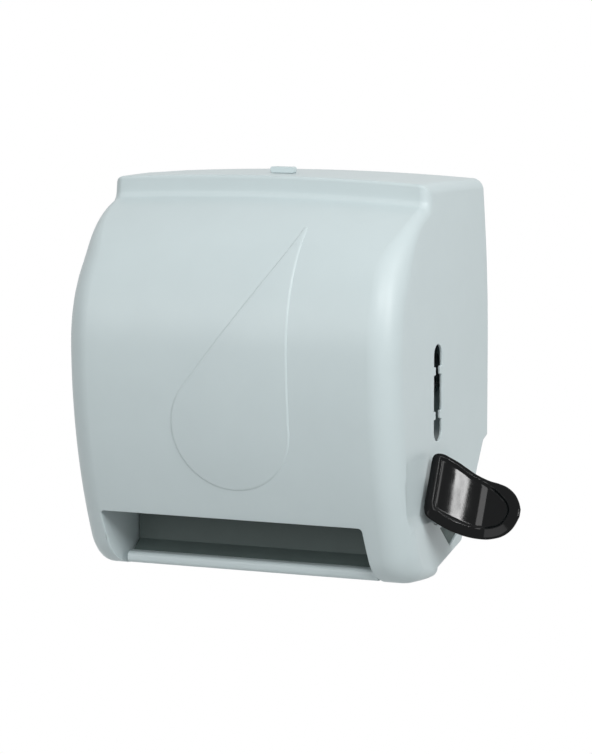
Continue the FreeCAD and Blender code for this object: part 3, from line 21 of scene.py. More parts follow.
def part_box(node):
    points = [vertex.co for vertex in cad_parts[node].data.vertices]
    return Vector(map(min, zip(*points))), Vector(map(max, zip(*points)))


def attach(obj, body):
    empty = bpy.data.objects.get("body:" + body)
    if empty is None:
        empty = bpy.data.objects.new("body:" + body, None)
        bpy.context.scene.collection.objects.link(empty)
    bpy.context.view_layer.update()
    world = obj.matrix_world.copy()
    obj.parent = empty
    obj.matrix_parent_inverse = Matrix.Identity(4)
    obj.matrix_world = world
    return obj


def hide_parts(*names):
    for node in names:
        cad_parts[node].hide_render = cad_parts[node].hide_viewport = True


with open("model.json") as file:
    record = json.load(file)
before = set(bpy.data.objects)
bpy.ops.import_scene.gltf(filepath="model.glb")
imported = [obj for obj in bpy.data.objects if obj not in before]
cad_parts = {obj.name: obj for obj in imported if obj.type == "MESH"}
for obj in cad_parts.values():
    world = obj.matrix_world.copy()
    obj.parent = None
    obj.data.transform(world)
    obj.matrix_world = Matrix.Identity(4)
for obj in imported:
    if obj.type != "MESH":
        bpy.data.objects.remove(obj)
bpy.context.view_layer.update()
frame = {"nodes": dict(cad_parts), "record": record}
log = logging.getLogger("dispenser")

MM = 0.001
FOOT_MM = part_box("front_cover")[0].z / MM
COVER_DEPTH_MM = -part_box("front_cover")[0].y / MM
COVER_HALF_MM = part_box("front_cover")[1].x / MM
# Points that a cut leaves closer than this are one point
WELD_MM = 0.005

Loop = list[tuple[float, float]]


def spot(across: float, depth: float, height: float) -> Vector:
    """A place in metres in the frame.

    Args:
        across: X in millimetres.
        depth: distance out of the wall in millimetres.
        height: height above the cheeks' foot in millimetres.

    Returns:
        The point in metres.
    """
    return Vector((across, -depth, height + FOOT_MM)) * MM


def smooth_share(low: float, high: float, value: float) -> float:
    """How far value has come from low to high, easing in and out.

    Args:
        low: where the share is 0.
        high: where the share is 1.
        value: the value asked about.

    Returns:
        A share from 0 to 1.
    """
    share = min(max((value - low) / (high - low), 0.0), 1.0)
    return share * share * (3.0 - 2.0 * share)


def arc(centre: tuple[float, float], radius: float, start: float, end: float, steps: int) -> Loop:
    """Points along an arc.

    Args:
        centre: the arc's centre.
        radius: the arc's radius.
        start: the first point's angle in degrees.
        end: the last point's angle in degrees.
        steps: how many stretches the arc is divided into.

    Returns:
        steps + 1 points.
    """
    points = []
    for step in range(steps + 1):
        turn = math.radians(start + (end - start) * step / steps)
        points.append((centre[0] + radius * math.cos(turn), centre[1] + radius * math.sin(turn)))
    return points


def linear_colour(code: str) -> tuple[float, float, float, float]:
    """An sRGB hex colour turned to linear.

    Args:
        code: six hex digits after a hash.

    Returns:
        Red, green, blue and an alpha of 1.
    """
    channels = []
    for place in (1, 3, 5):
        value = int(code[place:place + 2], 16) / 255
        channels.append(value / 12.92 if value <= 0.04045 else ((value + 0.055) / 1.055) ** 2.4)
    return channels[0], channels[1], channels[2], 1.0


# Finishes

def add_node(
    tree: bpy.types.NodeTree, kind: str, settings: dict | None = None, links: dict | None = None
) -> bpy.types.Node:
    """Add a node with its settings and the links that come into it.

    Args:
        tree: the node tree.
        kind: the node's type name.
        settings: values by socket name or by property name.
        links: output sockets by the name of the input that they feed.

    Returns:
        The new node.
    """
    node = tree.nodes.new(kind)
    for name, value in (settings or {}).items():
        if name in node.inputs:
            node.inputs[name].default_value = value
        else:
            setattr(node, name, value)
    for name, output in (links or {}).items():
        tree.links.new(output, node.inputs[name])
    return node


@dataclass(frozen=True)
class Finish:
    """How one material was made and what the eye gets from it.

    Attributes:
        title: the material's name.
        colour: the mean colour as sRGB hex.
        shade: the colour that the slow mottle leans to.
        roughness: mean roughness.
        roughness_spread: how far the roughness wanders each way.
        grain_mm: the size of the fine surface texture.
        grain_height_mm: the depth of that texture.
        mottle_mm: the size of the slow mottle.
        specular: the shader's specular level.
        metallic: 1 for a metal.
        stretch: how many times longer the grain is than wide, by axis.
    """

    title: str
    colour: str
    shade: str
    roughness: float
    roughness_spread: float
    grain_mm: float
    grain_height_mm: float
    mottle_mm: float
    specular: float = 0.5
    metallic: float = 0.0
    coat: float = 0.0
    stretch: tuple[float, float, float] = (1.0, 1.0, 1.0)

    def make(self) -> bpy.types.Material:
        """Build the material.

        Returns:
            A material with a grain, a slow mottle and a wandering roughness.
        """
        material = bpy.data.materials.new(self.title)
        material.use_nodes = True
        tree = material.node_tree
        tree.nodes.clear()
        place = add_node(tree, "ShaderNodeTexCoord")
        grain_space = add_node(
            tree, "ShaderNodeMapping",
            {"Scale": tuple(1.0 / (self.grain_mm * MM * part) for part in self.stretch)},
            {"Vector": place.outputs["Object"]},
        )
        grain = add_node(
            tree, "ShaderNodeTexNoise",
            {"Scale": 1.0, "Detail": 2.0, "Roughness": 0.55},
            {"Vector": grain_space.outputs["Vector"]},
        )
        mottle = add_node(
            tree, "ShaderNodeTexNoise",
            {"Scale": 1.0 / (self.mottle_mm * MM), "Detail": 3.0, "Roughness": 0.6},
            {"Vector": place.outputs["Object"]},
        )
        colour = add_node(
            tree, "ShaderNodeMix",
            {"data_type": "RGBA"},
            {"Factor": mottle.outputs["Fac"]},
        )
        colour.inputs[6].default_value = linear_colour(self.colour)
        colour.inputs[7].default_value = linear_colour(self.shade)
        rough = add_node(
            tree, "ShaderNodeMapRange",
            {"From Min": 0.3, "From Max": 0.7,
             "To Min": self.roughness - self.roughness_spread,
             "To Max": self.roughness + self.roughness_spread},
            {"Value": grain.outputs["Fac"]},
        )
        bump = add_node(
            tree, "ShaderNodeBump",
            {"Strength": 1.0, "Distance": self.grain_height_mm * MM},
            {"Height": grain.outputs["Fac"]},
        )
        shader = add_node(
            tree, "ShaderNodeBsdfPrincipled",
            {"Metallic": self.metallic, "Specular IOR Level": self.specular,
             "Coat Weight": self.coat, "Coat Roughness": 0.05},
            {"Base Color": colour.outputs[2], "Roughness": rough.outputs["Result"],
             "Normal": bump.outputs["Normal"]},
        )
        add_node(tree, "ShaderNodeOutputMaterial", links={"Surface": shader.outputs["BSDF"]})
        return material


class Slot(Enum):
    """The record's material slots and the finish that each one gets."""

    # Moulded ABS, spark-eroded to a satin: broad soft highlights and a fine even grain
    COVER = ("cover_abs", Finish("moulded_abs_pale", "#c9d6d8", "#c4d1d3", 0.42, 0.05, 0.9, 0.010, 34.0))
    # Moulded ABS from a polished tool: near-black, mirror-like, with the slight waves of a cooled skin
    LEVER = ("lever_abs", Finish("polished_abs_black", "#060708", "#090b0c", 0.09, 0.02, 14.0, 0.05, 9.0,
                                 specular=0.14))
    # Moulded ABS of the works, textured coarser than the cover
    CHASSIS = ("chassis_abs", Finish("moulded_abs_grey", "#a9b9bb", "#a0b1b3", 0.5, 0.06, 1.1, 0.02, 26.0))
    # The paper's guide: dark ABS, matt so that it doesn't show behind the paper
    DARK = ("dark_abs", Finish("moulded_abs_dark", "#5b6866", "#525f5d", 0.6, 0.06, 1.1, 0.02, 26.0))
    # Natural acetal: creamy, waxy, a little translucent to the eye
    ACETAL = ("acetal", Finish("moulded_acetal", "#e9e7dc", "#e2dfd2", 0.36, 0.04, 1.6, 0.008, 20.0))
    # Ground rubber: matt with the fine rings of its grinding
    RUBBER = ("roller_rubber", Finish("ground_rubber", "#2a2c2d", "#242627", 0.82, 0.05, 0.8, 0.03, 12.0,
                                      specular=0.3, stretch=(1.0, 6.0, 6.0)))
    # Cold-rolled stainless steel: fine lines along the sheet
    STAINLESS = ("stainless_steel", Finish("rolled_stainless", "#c4c5c4", "#b9bab9", 0.3, 0.06, 0.5, 0.006,
                                           18.0, metallic=1.0, stretch=(30.0, 1.0, 1.0)))
    # Drawn spring wire with a thin oil film
    SPRING = ("spring_steel", Finish("drawn_spring_steel", "#9b9c9d", "#8e8f90", 0.34, 0.06, 0.6, 0.006,
                                     8.0, metallic=1.0))
    # Bright zinc plate: cool, slightly cloudy
    ZINC = ("zinc_steel", Finish("bright_zinc_plate", "#c3c8cb", "#b4bbc0", 0.28, 0.07, 1.2, 0.006, 5.0,
                                 metallic=1.0))

    @property
    def slot(self) -> str:
        """The slot's name in the record."""
        return self.value[0]

    @property
    def finish(self) -> Finish:
        """The finish of the slot."""
        return self.value[1]


class Dresser:
    """Keeps one material per slot and gives it to pieces and CAD nodes."""

    def __init__(self) -> None:
        """Build every slot's material once."""
        self.materials = {kind.slot: kind.finish.make() for kind in Slot}

    def dress(self, piece: bpy.types.Object, slot: str) -> None:
        """Give a piece or a CAD node its slot's material.

        Args:
            piece: the object.
            slot: the slot's name in the record.
        """
        piece.data.materials.clear()
        piece.data.materials.append(self.materials[slot])

    def dress_nodes(self) -> None:
        """Give every CAD node the finish of its slot in the record."""
        for subpart in frame["record"]["subparts"]:
            self.dress(frame["nodes"][subpart["node"]], subpart["material_slot"])


# Mesh helpers

def keep_piece(shape: BMesh, name: str, body: str, kind: Slot, dresser: Dresser) -> bpy.types.Object:
    """Turn a finished bmesh into a piece of the scene.

    Args:
        shape: the mesh in metres in the frame. It is freed.
        name: the piece's name.
        body: the CAD body it rides on.
        kind: the material slot.
        dresser: gives it its material.

    Returns:
        The new object.
    """
    mesh = bpy.data.meshes.new(name)
    shape.to_mesh(mesh)
    shape.free()
    piece = bpy.data.objects.new(name, mesh)
    bpy.context.scene.collection.objects.link(piece)
    for polygon in mesh.polygons:
        polygon.use_smooth = True
    dresser.dress(piece, kind.slot)
    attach(piece, body)
    return piece


def soften_edges(piece: bpy.types.Object, width_mm: float, segments: int, angle: float) -> None:
    """Round a piece's sharp edges and lean its shading to the large faces.

    Args:
        piece: the object.
        width_mm: the rounding's width.
        segments: how many strips the rounding has.
        angle: edges sharper than this many degrees are rounded.
    """
    bevel = piece.modifiers.new("edge_round", "BEVEL")
    bevel.width = width_mm * MM
    bevel.segments = segments
    bevel.limit_method = "ANGLE"
    bevel.angle_limit = math.radians(angle)
    bevel.use_clamp_overlap = False
    bevel.harden_normals = False
    weighted = piece.modifiers.new("face_shading", "WEIGHTED_NORMAL")
    weighted.keep_sharp = True


def combined(base: BMesh, others: Iterable[BMesh], operation: str) -> BMesh:
    """Join or cut closed shapes.

    Args:
        base: the first shape. It is freed.
        others: the shapes that are added or taken away. They are freed.
        operation: UNION or DIFFERENCE.

    Returns:
        The resulting mesh.
    """
    objects = []
    for shape in (base, *others):
        mesh = bpy.data.meshes.new("work")
        shape.to_mesh(mesh)
        shape.free()
        thing = bpy.data.objects.new("work", mesh)
        bpy.context.scene.collection.objects.link(thing)
        objects.append(thing)
    for tool in objects[1:]:
        cut = objects[0].modifiers.new("cut", "BOOLEAN")
        cut.operation = operation
        cut.solver = "EXACT"
        cut.object = tool
    graph = bpy.context.evaluated_depsgraph_get()
    result = bpy.data.meshes.new_from_object(objects[0].evaluated_get(graph))
    whole = bmesh.new()
    whole.from_mesh(result)
    bpy.data.meshes.remove(result)
    for thing in objects:
        mesh = thing.data
        bpy.data.objects.remove(thing)
        bpy.data.meshes.remove(mesh)
    bmesh.ops.remove_doubles(whole, verts=whole.verts, dist=WELD_MM * MM)
    return whole


def prism(corners: Loop, low: float, high: float, plane: str) -> BMesh:
    """A closed block with a flat outline, in millimetres.

    Args:
        corners: the outline's corners.
        low: where the block starts across the plane.
        high: where it ends.
        plane: "side" for corners of depth and height, "front" for X and height.

    Returns:
        The block, in metres in the frame.
    """
    shape = bmesh.new()
    face = shape.faces.new([
        shape.verts.new(spot(low, a, b) if plane == "side" else spot(a, low, b)) for a, b in corners])
    made = bmesh.ops.extrude_face_region(shape, geom=[face])
    moved = [part for part in made["geom"] if isinstance(part, BMVert)]
    way = Vector((1.0, 0.0, 0.0)) if plane == "side" else Vector((0.0, -1.0, 0.0))
    bmesh.ops.translate(shape, verts=moved, vec=way * (high - low) * MM)
    bmesh.ops.recalc_face_normals(shape, faces=shape.faces)
    return shape


def rounded_rectangle(low_a: float, high_a: float, low_b: float, high_b: float, radius: float) -> Loop:
    """The outline of a rectangle with round corners.

    Args:
        low_a: the lower first coordinate.
        high_a: the higher first coordinate.
        low_b: the lower second coordinate.
        high_b: the higher second coordinate.
        radius: the corners' radius.

    Returns:
        The outline's points.
    """
    points: Loop = []
    centres = (
        ((high_a - radius, high_b - radius), 0.0), ((low_a + radius, high_b - radius), 90.0),
        ((low_a + radius, low_b + radius), 180.0), ((high_a - radius, low_b + radius), 270.0),
    )
    for centre, start in centres:
        points.extend(arc(centre, radius, start, start + 90.0, 8))
    return points


def disc(across_low: float, across_high: float, depth: float, height: float, radius: float) -> BMesh:
    """A closed cylinder along X, in millimetres.

    Args:
        across_low: its lower end.
        across_high: its higher end.
        depth: the depth of its axis.
        height: the height of its axis.
        radius: its radius.

    Returns:
        The cylinder, in metres in the frame.
    """
    shape = bmesh.new()
    turn = Matrix.Rotation(math.pi / 2, 4, "Y")
    middle = spot((across_low + across_high) / 2, depth, height)
    bmesh.ops.create_cone(
        shape, cap_ends=True, segments=64, radius1=radius * MM, radius2=radius * MM,
        depth=(across_high - across_low) * MM, matrix=Matrix.Translation(middle) @ turn)
    return shape


# Cover

@dataclass
class Cover:
    """The moulded cover: a bulging front between two cheeks, an arched top with a soft band, level
    slots in both sides and a shallow recess round the lever. Sizes in millimetres."""

    half_width: float = COVER_HALF_MM
    # The drop's outline stands this far out of the front, and reaches the cover's full depth
    relief_height: float = 0.8
    depth: float = COVER_DEPTH_MM - 0.8
    wall: float = 2.5
    belly_height: float = 197.0
    brow_radius: float = 125.0
    shin_radius: float = 430.0
    toe_radius: float = 38.0
    cheek_back: float = 117.6
    crown_height: float = 335.0
    crown_radius: float = 2306.0
    top_fall: float = 2.7
    top_level_from: float = 84.0
    band_depth: float = 131.0
    band_edge: float = 2.6
    groove_radius: float = 6.0
    end_round: float = 9.0
    side_round: float = 24.0
    heel_round: float = 9.0
    lean_height: float = 180.0
    lean_in: float = 5.5
    columns: int = 26
    # The columns between the last ones of the flat, so that none comes near the outlet's sides
    column_reach: float = 121.3
    corner_steps: int = 8
    inner_back: float = -12.0
    inner_foot: float = -20.0
    # Side outline below the cheek, as depth and height
    skirt: Loop = field(default_factory=lambda: [(62.0, 23.3), (10.0, 102.6), (0.0, 106.6)])
    outlet_half: float = 117.0
    outlet_height: float = 51.0
    outlet_corner: float = 3.5
    outlet_back: float = 143.0
    slot_depth: float = 119.5
    slot_foot: float = 116.0
    slot_top: float = 197.4
    slot_half: float = 9.0
    neck_half: float = 5.0
    lobe: float = 18.5
    neck: float = 7.0
    recess: tuple[float, float, float, float] = (92.0, 190.0, 50.0, 113.0)
    recess_corner: float = 10.0
    recess_sink: float = 3.0
    recess_draft: float = 8.0
    left_overlap: float = 9.0
    left_flare: float = 11.0
    flare_run: float = 55.0
    right_lean: float = 0.15
    right_lean_from: float = 165.0
    lock_slot: tuple[float, float, float, float] = (-4.3, 7.3, 96.2, 99.8)
    pivot: tuple[float, float] = (120.0, 60.0)
    right_eye: float = 14.4
    left_eye: float = 8.4
    gap: Loop = field(default_factory=lambda: [(113.0, 41.5), (89.5, 22.5), (70.0, 31.5), (74.0, 41.5)])

    def brow_centre(self) -> tuple[float, float]:
        """The centre of the brow's arc."""
        return self.depth - self.brow_radius, self.belly_height

    def toe(self) -> tuple[float, float, float]:
        """The toe's centre depth, and the depth and height where the shin ends."""
        between = self.shin_radius - self.toe_radius
        rise = self.belly_height - self.toe_radius
        shin_depth = self.depth - self.shin_radius
        run = math.sqrt(between * between - rise * rise)
        share = self.shin_radius / between
        return shin_depth + run, shin_depth + run * share, self.belly_height - rise * share

    def front_depth(self, height: float) -> float:
        """How far the front stands out of the wall.

        Args:
            height: the height above the cheeks' foot.

        Returns:
            The depth of the outer skin.
        """
        centre_depth, centre_height = self.brow_centre()
        rise = height - self.belly_height
        if rise > 0:
            return centre_depth + math.sqrt(max(self.brow_radius ** 2 - rise * rise, 0.0))
        return self.depth - self.shin_radius + math.sqrt(self.shin_radius ** 2 - rise * rise)

    def end_radius(self, depth: float, height: float) -> float:
        """The radius at which the skin turns into the sides, from the band down to the cheeks' foot.

        Args:
            depth: a place on the side profile.
            height: that place's height.

        Returns:
            The radius there.
        """
        brow = smooth_share(316.0, 268.0, height)
        heel = smooth_share(186.0, 124.0, depth) if height < self.toe_radius else 0.0
        radius = self.end_round + (self.side_round - self.end_round) * brow
        return radius + (self.heel_round - radius) * heel

    def profile(self, inset: float) -> list[tuple[Vector, Vector, float]]:
        """The side profile from the back of the top round the front to the cheek's back.

        Args:
            inset: how far inside the outer skin it runs.

        Returns:
            For each point its place, its outward normal and the largest inset before its arc
            has shrunk to a corner.
        """
        far = 1000.0
        centre_depth, centre_height = self.brow_centre()
        points: list[tuple[Vector, Vector, float]] = []
        start = self.inner_back if inset else 0.0
        for step in range(9):
            place = start + (self.band_depth - self.band_edge - start) * step / 8
            points.append((Vector((place, self.crown_height)), Vector((0.0, 1.0)), far))
        edge_centre = Vector((self.band_depth - self.band_edge, self.crown_height - self.band_edge))
        for a, b in arc((0.0, 0.0), 1.0, 81.0, 9.0, 4):
            normal = Vector((a, b))
            points.append((edge_centre + normal * self.band_edge, normal, self.band_edge))
        groove = self.groove_radius
        reach = self.brow_radius + groove
        out = self.band_depth + groove - centre_depth
        groove_height = centre_height + math.sqrt(reach * reach - out * out)
        for height in (self.crown_height - self.band_edge, self.crown_height - 6.0, groove_height + 2.0):
            points.append((Vector((self.band_depth, height)), Vector((1.0, 0.0)), far))
        lean = math.degrees(math.atan2(groove_height - centre_height, out))
        for a, b in arc((0.0, 0.0), 1.0, 180.0, 180.0 + lean, 6):
            normal = Vector((-a, -b))
            place = Vector((self.band_depth + groove, groove_height)) + Vector((a, b)) * groove
            points.append((place, normal, far))
        for a, b in arc((0.0, 0.0), 1.0, lean, 0.0, 28)[1:]:
            normal = Vector((a, b))
            points.append((Vector(self.brow_centre()) + normal * self.brow_radius, normal, far))
        toe_depth, shin_end_depth, shin_end_height = self.toe()
        shin_centre = Vector((self.depth - self.shin_radius, self.belly_height))
        shin_lean = math.degrees(math.atan2(shin_end_height - self.belly_height, shin_end_depth - shin_centre.x))
        for a, b in arc((0.0, 0.0), 1.0, 0.0, shin_lean, 30)[1:]:
            normal = Vector((a, b))
            points.append((shin_centre + normal * self.shin_radius, normal, far))
        for a, b in arc((0.0, 0.0), 1.0, shin_lean, -90.0, 12)[1:]:
            normal = Vector((a, b))
            points.append((Vector((toe_depth, self.toe_radius)) + normal * self.toe_radius, normal, self.toe_radius))
        back = self.cheek_back - inset
        for share in (0.35, 0.7, 1.0):
            place = toe_depth + (back - toe_depth) * share
            points.append((Vector((place, 0.0)), Vector((0.0, -1.0)), far))
        return points

    def inset_place(self, point: tuple[Vector, Vector, float], inset: float) -> Vector:
        """A profile point moved inwards, to a corner where its arc has shrunk away.

        Args:
            point: the place, normal and largest inset.
            inset: how far in.

        Returns:
            The depth and height.
        """
        place, normal, most = point
        if inset > most and most == self.band_edge:
            return Vector((self.band_depth, self.crown_height)) - Vector((1.0, 1.0)) * inset
        moved = place - normal * inset
        if normal.y == 1.0:
            moved.x = min(moved.x, self.band_depth - max(inset, self.band_edge))
        elif normal.x == 1.0 and place.x == self.band_depth:
            moved.y = min(moved.y, self.crown_height - max(inset, self.band_edge))
        return moved

    def shaped(self, across: float, depth: float, height: float) -> Vector:
        """Lean the sides in, arch the top and let it fall to the back.

        Args:
            across: X before shaping.
            depth: the depth.
            height: the height before shaping.

        Returns:
            The place in metres.
        """
        climb = max(height - self.lean_height, 0.0) / (self.crown_height - self.lean_height)
        across *= 1.0 - self.lean_in * climb * climb / self.half_width
        weight = smooth_share(230.0, 315.0, height)
        drop = across * across / (2 * self.crown_radius)
        back = max(self.top_level_from - depth, 0.0) / self.top_level_from
        drop += self.top_fall * min(back, 1.0)
        return spot(across, depth, height - drop * weight)

    def solid(self, inset: float) -> BMesh:
        """The closed block inside the skin at an inset.

        Args:
            inset: 0 for the outer skin, the wall for the inner one, which runs out past the
                open back and foot.

        Returns:
            The block in metres.
        """
        shape = bmesh.new()
        profile = self.profile(inset)
        across_steps = self.columns + 2 * self.corner_steps
        bmesh.ops.create_grid(shape, x_segments=across_steps, y_segments=len(profile) - 1, size=1.0)
        left: dict[int, BMVert] = {}
        right: dict[int, BMVert] = {}
        for vert in shape.verts:
            column = round((vert.co.x + 1.0) / 2.0 * across_steps)
            row = round((vert.co.y + 1.0) / 2.0 * (len(profile) - 1))
            share = min(max((column - self.corner_steps) / self.columns * 2.0 - 1.0, -1.0), 1.0)
            beyond = max(self.corner_steps - column, column - self.columns - self.corner_steps, 0)
            turn = math.pi / 2 * beyond / self.corner_steps
            place, _, _ = profile[row]
            radius = self.end_radius(place.x, place.y)
            bend = max(radius - inset, 0.4)
            flat = self.half_width - radius if abs(share) == 1.0 else self.column_reach
            across = flat * share + math.copysign(bend * math.sin(turn), share)
            if column == 0:
                left[row] = vert
            elif column == across_steps:
                right[row] = vert
            moved = self.inset_place(profile[row], inset + bend * (1.0 - math.cos(turn)))
            vert.co = Vector((across, moved.x, moved.y))
        first = [left[row] for row in sorted(left)]
        line = [right[row] for row in sorted(right)]
        self.close(shape, first, line, inset)
        bmesh.ops.remove_doubles(shape, verts=shape.verts, dist=0.01)
        for height in range(190, 325, 9):
            sides = [face for face in shape.faces if abs(face.normal.x) > 0.999]
            parts = sides + list({edge for face in sides for edge in face.edges})
            parts += list({vert for face in sides for vert in face.verts})
            bmesh.ops.bisect_plane(shape, geom=parts, plane_co=(0.0, 0.0, float(height)), plane_no=(0.0, 0.0, 1.0))
        for vert in shape.verts:
            vert.co = self.shaped(vert.co.x, vert.co.y, vert.co.z)
        bmesh.ops.recalc_face_normals(shape, faces=shape.faces)
        return shape

    def close(self, shape: BMesh, left: list[BMVert], right: list[BMVert], inset: float) -> None:
        """Close the sides, the back and the foot of a skin.

        Args:
            shape: the open skin, still as X, depth and height.
            left: the skin's last points on the left, from the top round to the cheek's back.
            right: the same on the right.
            inset: how far inside the outer skin it is.
        """
        if inset:
            outline = [(self.cheek_back - inset, self.inner_foot), (self.inner_back, self.inner_foot)]
        else:
            outline = self.skirt
        ends = []
        for line in (left, right):
            across = line[0].co.x
            ends.append([shape.verts.new(Vector((across, a, b))) for a, b in outline])
        foot = self.across_verts(left[-1], right[-1])
        back = self.across_verts(left[0], right[0])
        for line, extra in zip((left, right), ends):
            shape.faces.new(line + extra)
        cuts = list(zip(*ends))
        if inset:
            shape.faces.new(foot + [cuts[0][1], cuts[0][0]])
        else:
            shape.faces.new(foot)
            cuts.insert(0, (left[-1], right[-1]))
        for pair, following in zip(cuts, cuts[1:]):
            shape.faces.new([pair[0], pair[1], following[1], following[0]])
        shape.faces.new(back + [cuts[-1][1], cuts[-1][0]])

    @staticmethod
    def across_verts(start: BMVert, end: BMVert) -> list[BMVert]:
        """The open line of vertices across the skin from one end to the other.

        Args:
            start: the left end.
            end: the right end.

        Returns:
            The vertices in order.
        """
        line = [start]
        seen = {start}
        while line[-1] is not end:
            step = next(edge.other_vert(line[-1]) for edge in line[-1].link_edges
                        if len(edge.link_faces) == 1 and edge.other_vert(line[-1]) not in seen
                        and abs(edge.other_vert(line[-1]).co.y - start.co.y) < 0.001
                        and edge.other_vert(line[-1]).co.x > line[-1].co.x)
            line.append(step)
            seen.add(step)
        return line

    def slot_outline(self) -> Loop:
        """The level slot: two round lobes and a middle window joined by necks."""
        half, thin = self.slot_half, self.neck_half
        low, high = self.slot_foot, self.slot_top
        steps = [low + self.lobe, low + self.lobe + self.neck, high - self.lobe - self.neck, high - self.lobe]
        points = arc((self.slot_depth, low + half), half, 180.0, 360.0, 16)
        for height, reach in zip(steps, (half, thin, half, thin)):
            other = thin if reach == half else half
            points.append((self.slot_depth + reach, height))
            points.append((self.slot_depth + other, height))
        points.extend(arc((self.slot_depth, high - half), half, 0.0, 180.0, 16))
        for height, reach in zip(reversed(steps), (half, thin, half, thin)):
            other = thin if reach == half else half
            points.append((self.slot_depth - reach, height))
            points.append((self.slot_depth - other, height))
        return points

    def shell(self) -> BMesh:
        """The whole cover: skin, cheek walls, recess and its openings."""
        half, wall = self.half_width, self.wall
        low, high, foot, top = self.recess
        outer = combined(self.solid(0.0), [self.recess_block()], "DIFFERENCE")
        floor = half - self.recess_sink - wall
        backing = prism(rounded_rectangle(low - wall, high + wall, foot - wall, top + wall,
                                          self.recess_corner + wall), floor, half + 1.0, "side")
        ceiling = self.outlet_height + 6.0
        walls = [
            self.flared(prism([(start, -30.0), (start + wall, -30.0), (start + wall, ceiling), (start, ceiling)],
                              back, self.depth + 5.0, "front"))
            for start, back in ((self.outlet_half, self.outlet_back),
                                (-self.outlet_half - wall, self.outlet_back - self.left_overlap))
        ]
        inner = combined(self.solid(wall), [backing, *walls], "DIFFERENCE")
        outlet = prism(rounded_rectangle(-self.outlet_half, self.outlet_half, -30.0, self.outlet_height,
                                         self.outlet_corner), 60.0, self.depth + 20.0, "front")
        depth, height = self.pivot
        lock_low, lock_high, lock_back, lock_front = self.lock_slot
        cutters = [
            inner, self.flared(outlet),
            prism(rounded_rectangle(lock_low, lock_high, self.crown_height - 20.0, self.crown_height + 10.0, 1.0),
                  lock_back, lock_front, "front"),
            prism(self.slot_outline(), -half - 10.0, half + 10.0, "side"),
            prism(self.gap, floor - 5.0, half + 10.0, "side"),
            disc(floor - 5.0, half + 10.0, depth, height, self.right_eye),
            disc(-half - 10.0, -half + 10.0, depth, height, self.left_eye),
        ]
        return combined(outer, cutters, "DIFFERENCE")

    def recess_block(self) -> BMesh:
        """What the recess round the lever takes away, its walls sloped so that it fades into the side."""
        low, high, foot, top = self.recess
        draft, half = self.recess_draft, self.half_width
        above = 12.0
        block = prism(rounded_rectangle(low + draft, high - draft, foot + draft, top - draft, self.recess_corner),
                      half - self.recess_sink, half + above, "side")
        spread = draft * (1.0 + above / self.recess_sink)
        middle = spot(0.0, (low + high) / 2, (foot + top) / 2)
        scale = Vector((1.0, 1.0 + spread / ((high - low) / 2 - draft), 1.0 + spread / ((top - foot) / 2 - draft)))
        outer = [vert for vert in block.verts if vert.co.x > half * MM]
        bmesh.ops.scale(block, vec=scale, verts=outer, space=Matrix.Translation(-middle))
        return block

    def flared(self, shape: BMesh) -> BMesh:
        """Lean both sides of a block to the left, the left one from the outlet's back on.

        Args:
            shape: a block along the depth.

        Returns:
            The same block.
        """
        for depth in (self.outlet_back, self.right_lean_from):
            bmesh.ops.bisect_plane(shape, geom=list(shape.verts) + list(shape.edges) + list(shape.faces),
                                   plane_co=spot(0.0, depth, 0.0), plane_no=(0.0, 1.0, 0.0))
        for vert in shape.verts:
            depth = -vert.co.y / MM
            if vert.co.x < 0:
                vert.co.x -= self.left_flare * MM * max(depth - self.outlet_back, 0.0) / self.flare_run
            else:
                vert.co.x -= self.right_lean * MM * max(depth - self.right_lean_from, 0.0)
        return shape

    def build(self, dresser: Dresser) -> list[bpy.types.Object]:
        """Build and dress the cover.

        Args:
            dresser: gives the pieces their material.

        Returns:
            The cover's pieces.
        """
        shell = keep_piece(self.shell(), "cover_shell", "cover", Slot.COVER, dresser)
        soften_edges(shell, 0.7, 2, 38.0)
        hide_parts("front_cover")
        relief = keep_piece(self.relief(), "water_drop_relief", "cover", Slot.COVER, dresser)
        # The dark cap behind the gap under the lever is painted shade.
        shade_cap = keep_piece(self.painted_shade_cap(), "painted_shade_cap", "cover", Slot.DARK, dresser)
        return [shell, relief, shade_cap]

    def painted_shade_cap(self) -> BMesh:
        """A dark cap that closes the gap under the lever from inside: painted shade, so that the gap reads as dark
        as a deep shadow.
        """
        middle = [sum(point[k] for point in self.gap) / len(self.gap) for k in (0, 1)]
        grown = [(middle[0] + (a - middle[0]) * 1.25, middle[1] + (b - middle[1]) * 1.25) for a, b in self.gap]
        inside = self.half_width - self.wall
        cup = prism(self.gap, inside - 4.5, inside + 5.0, "side")
        return combined(prism(grown, inside - 6.0, inside, "side"), [cup], "DIFFERENCE")

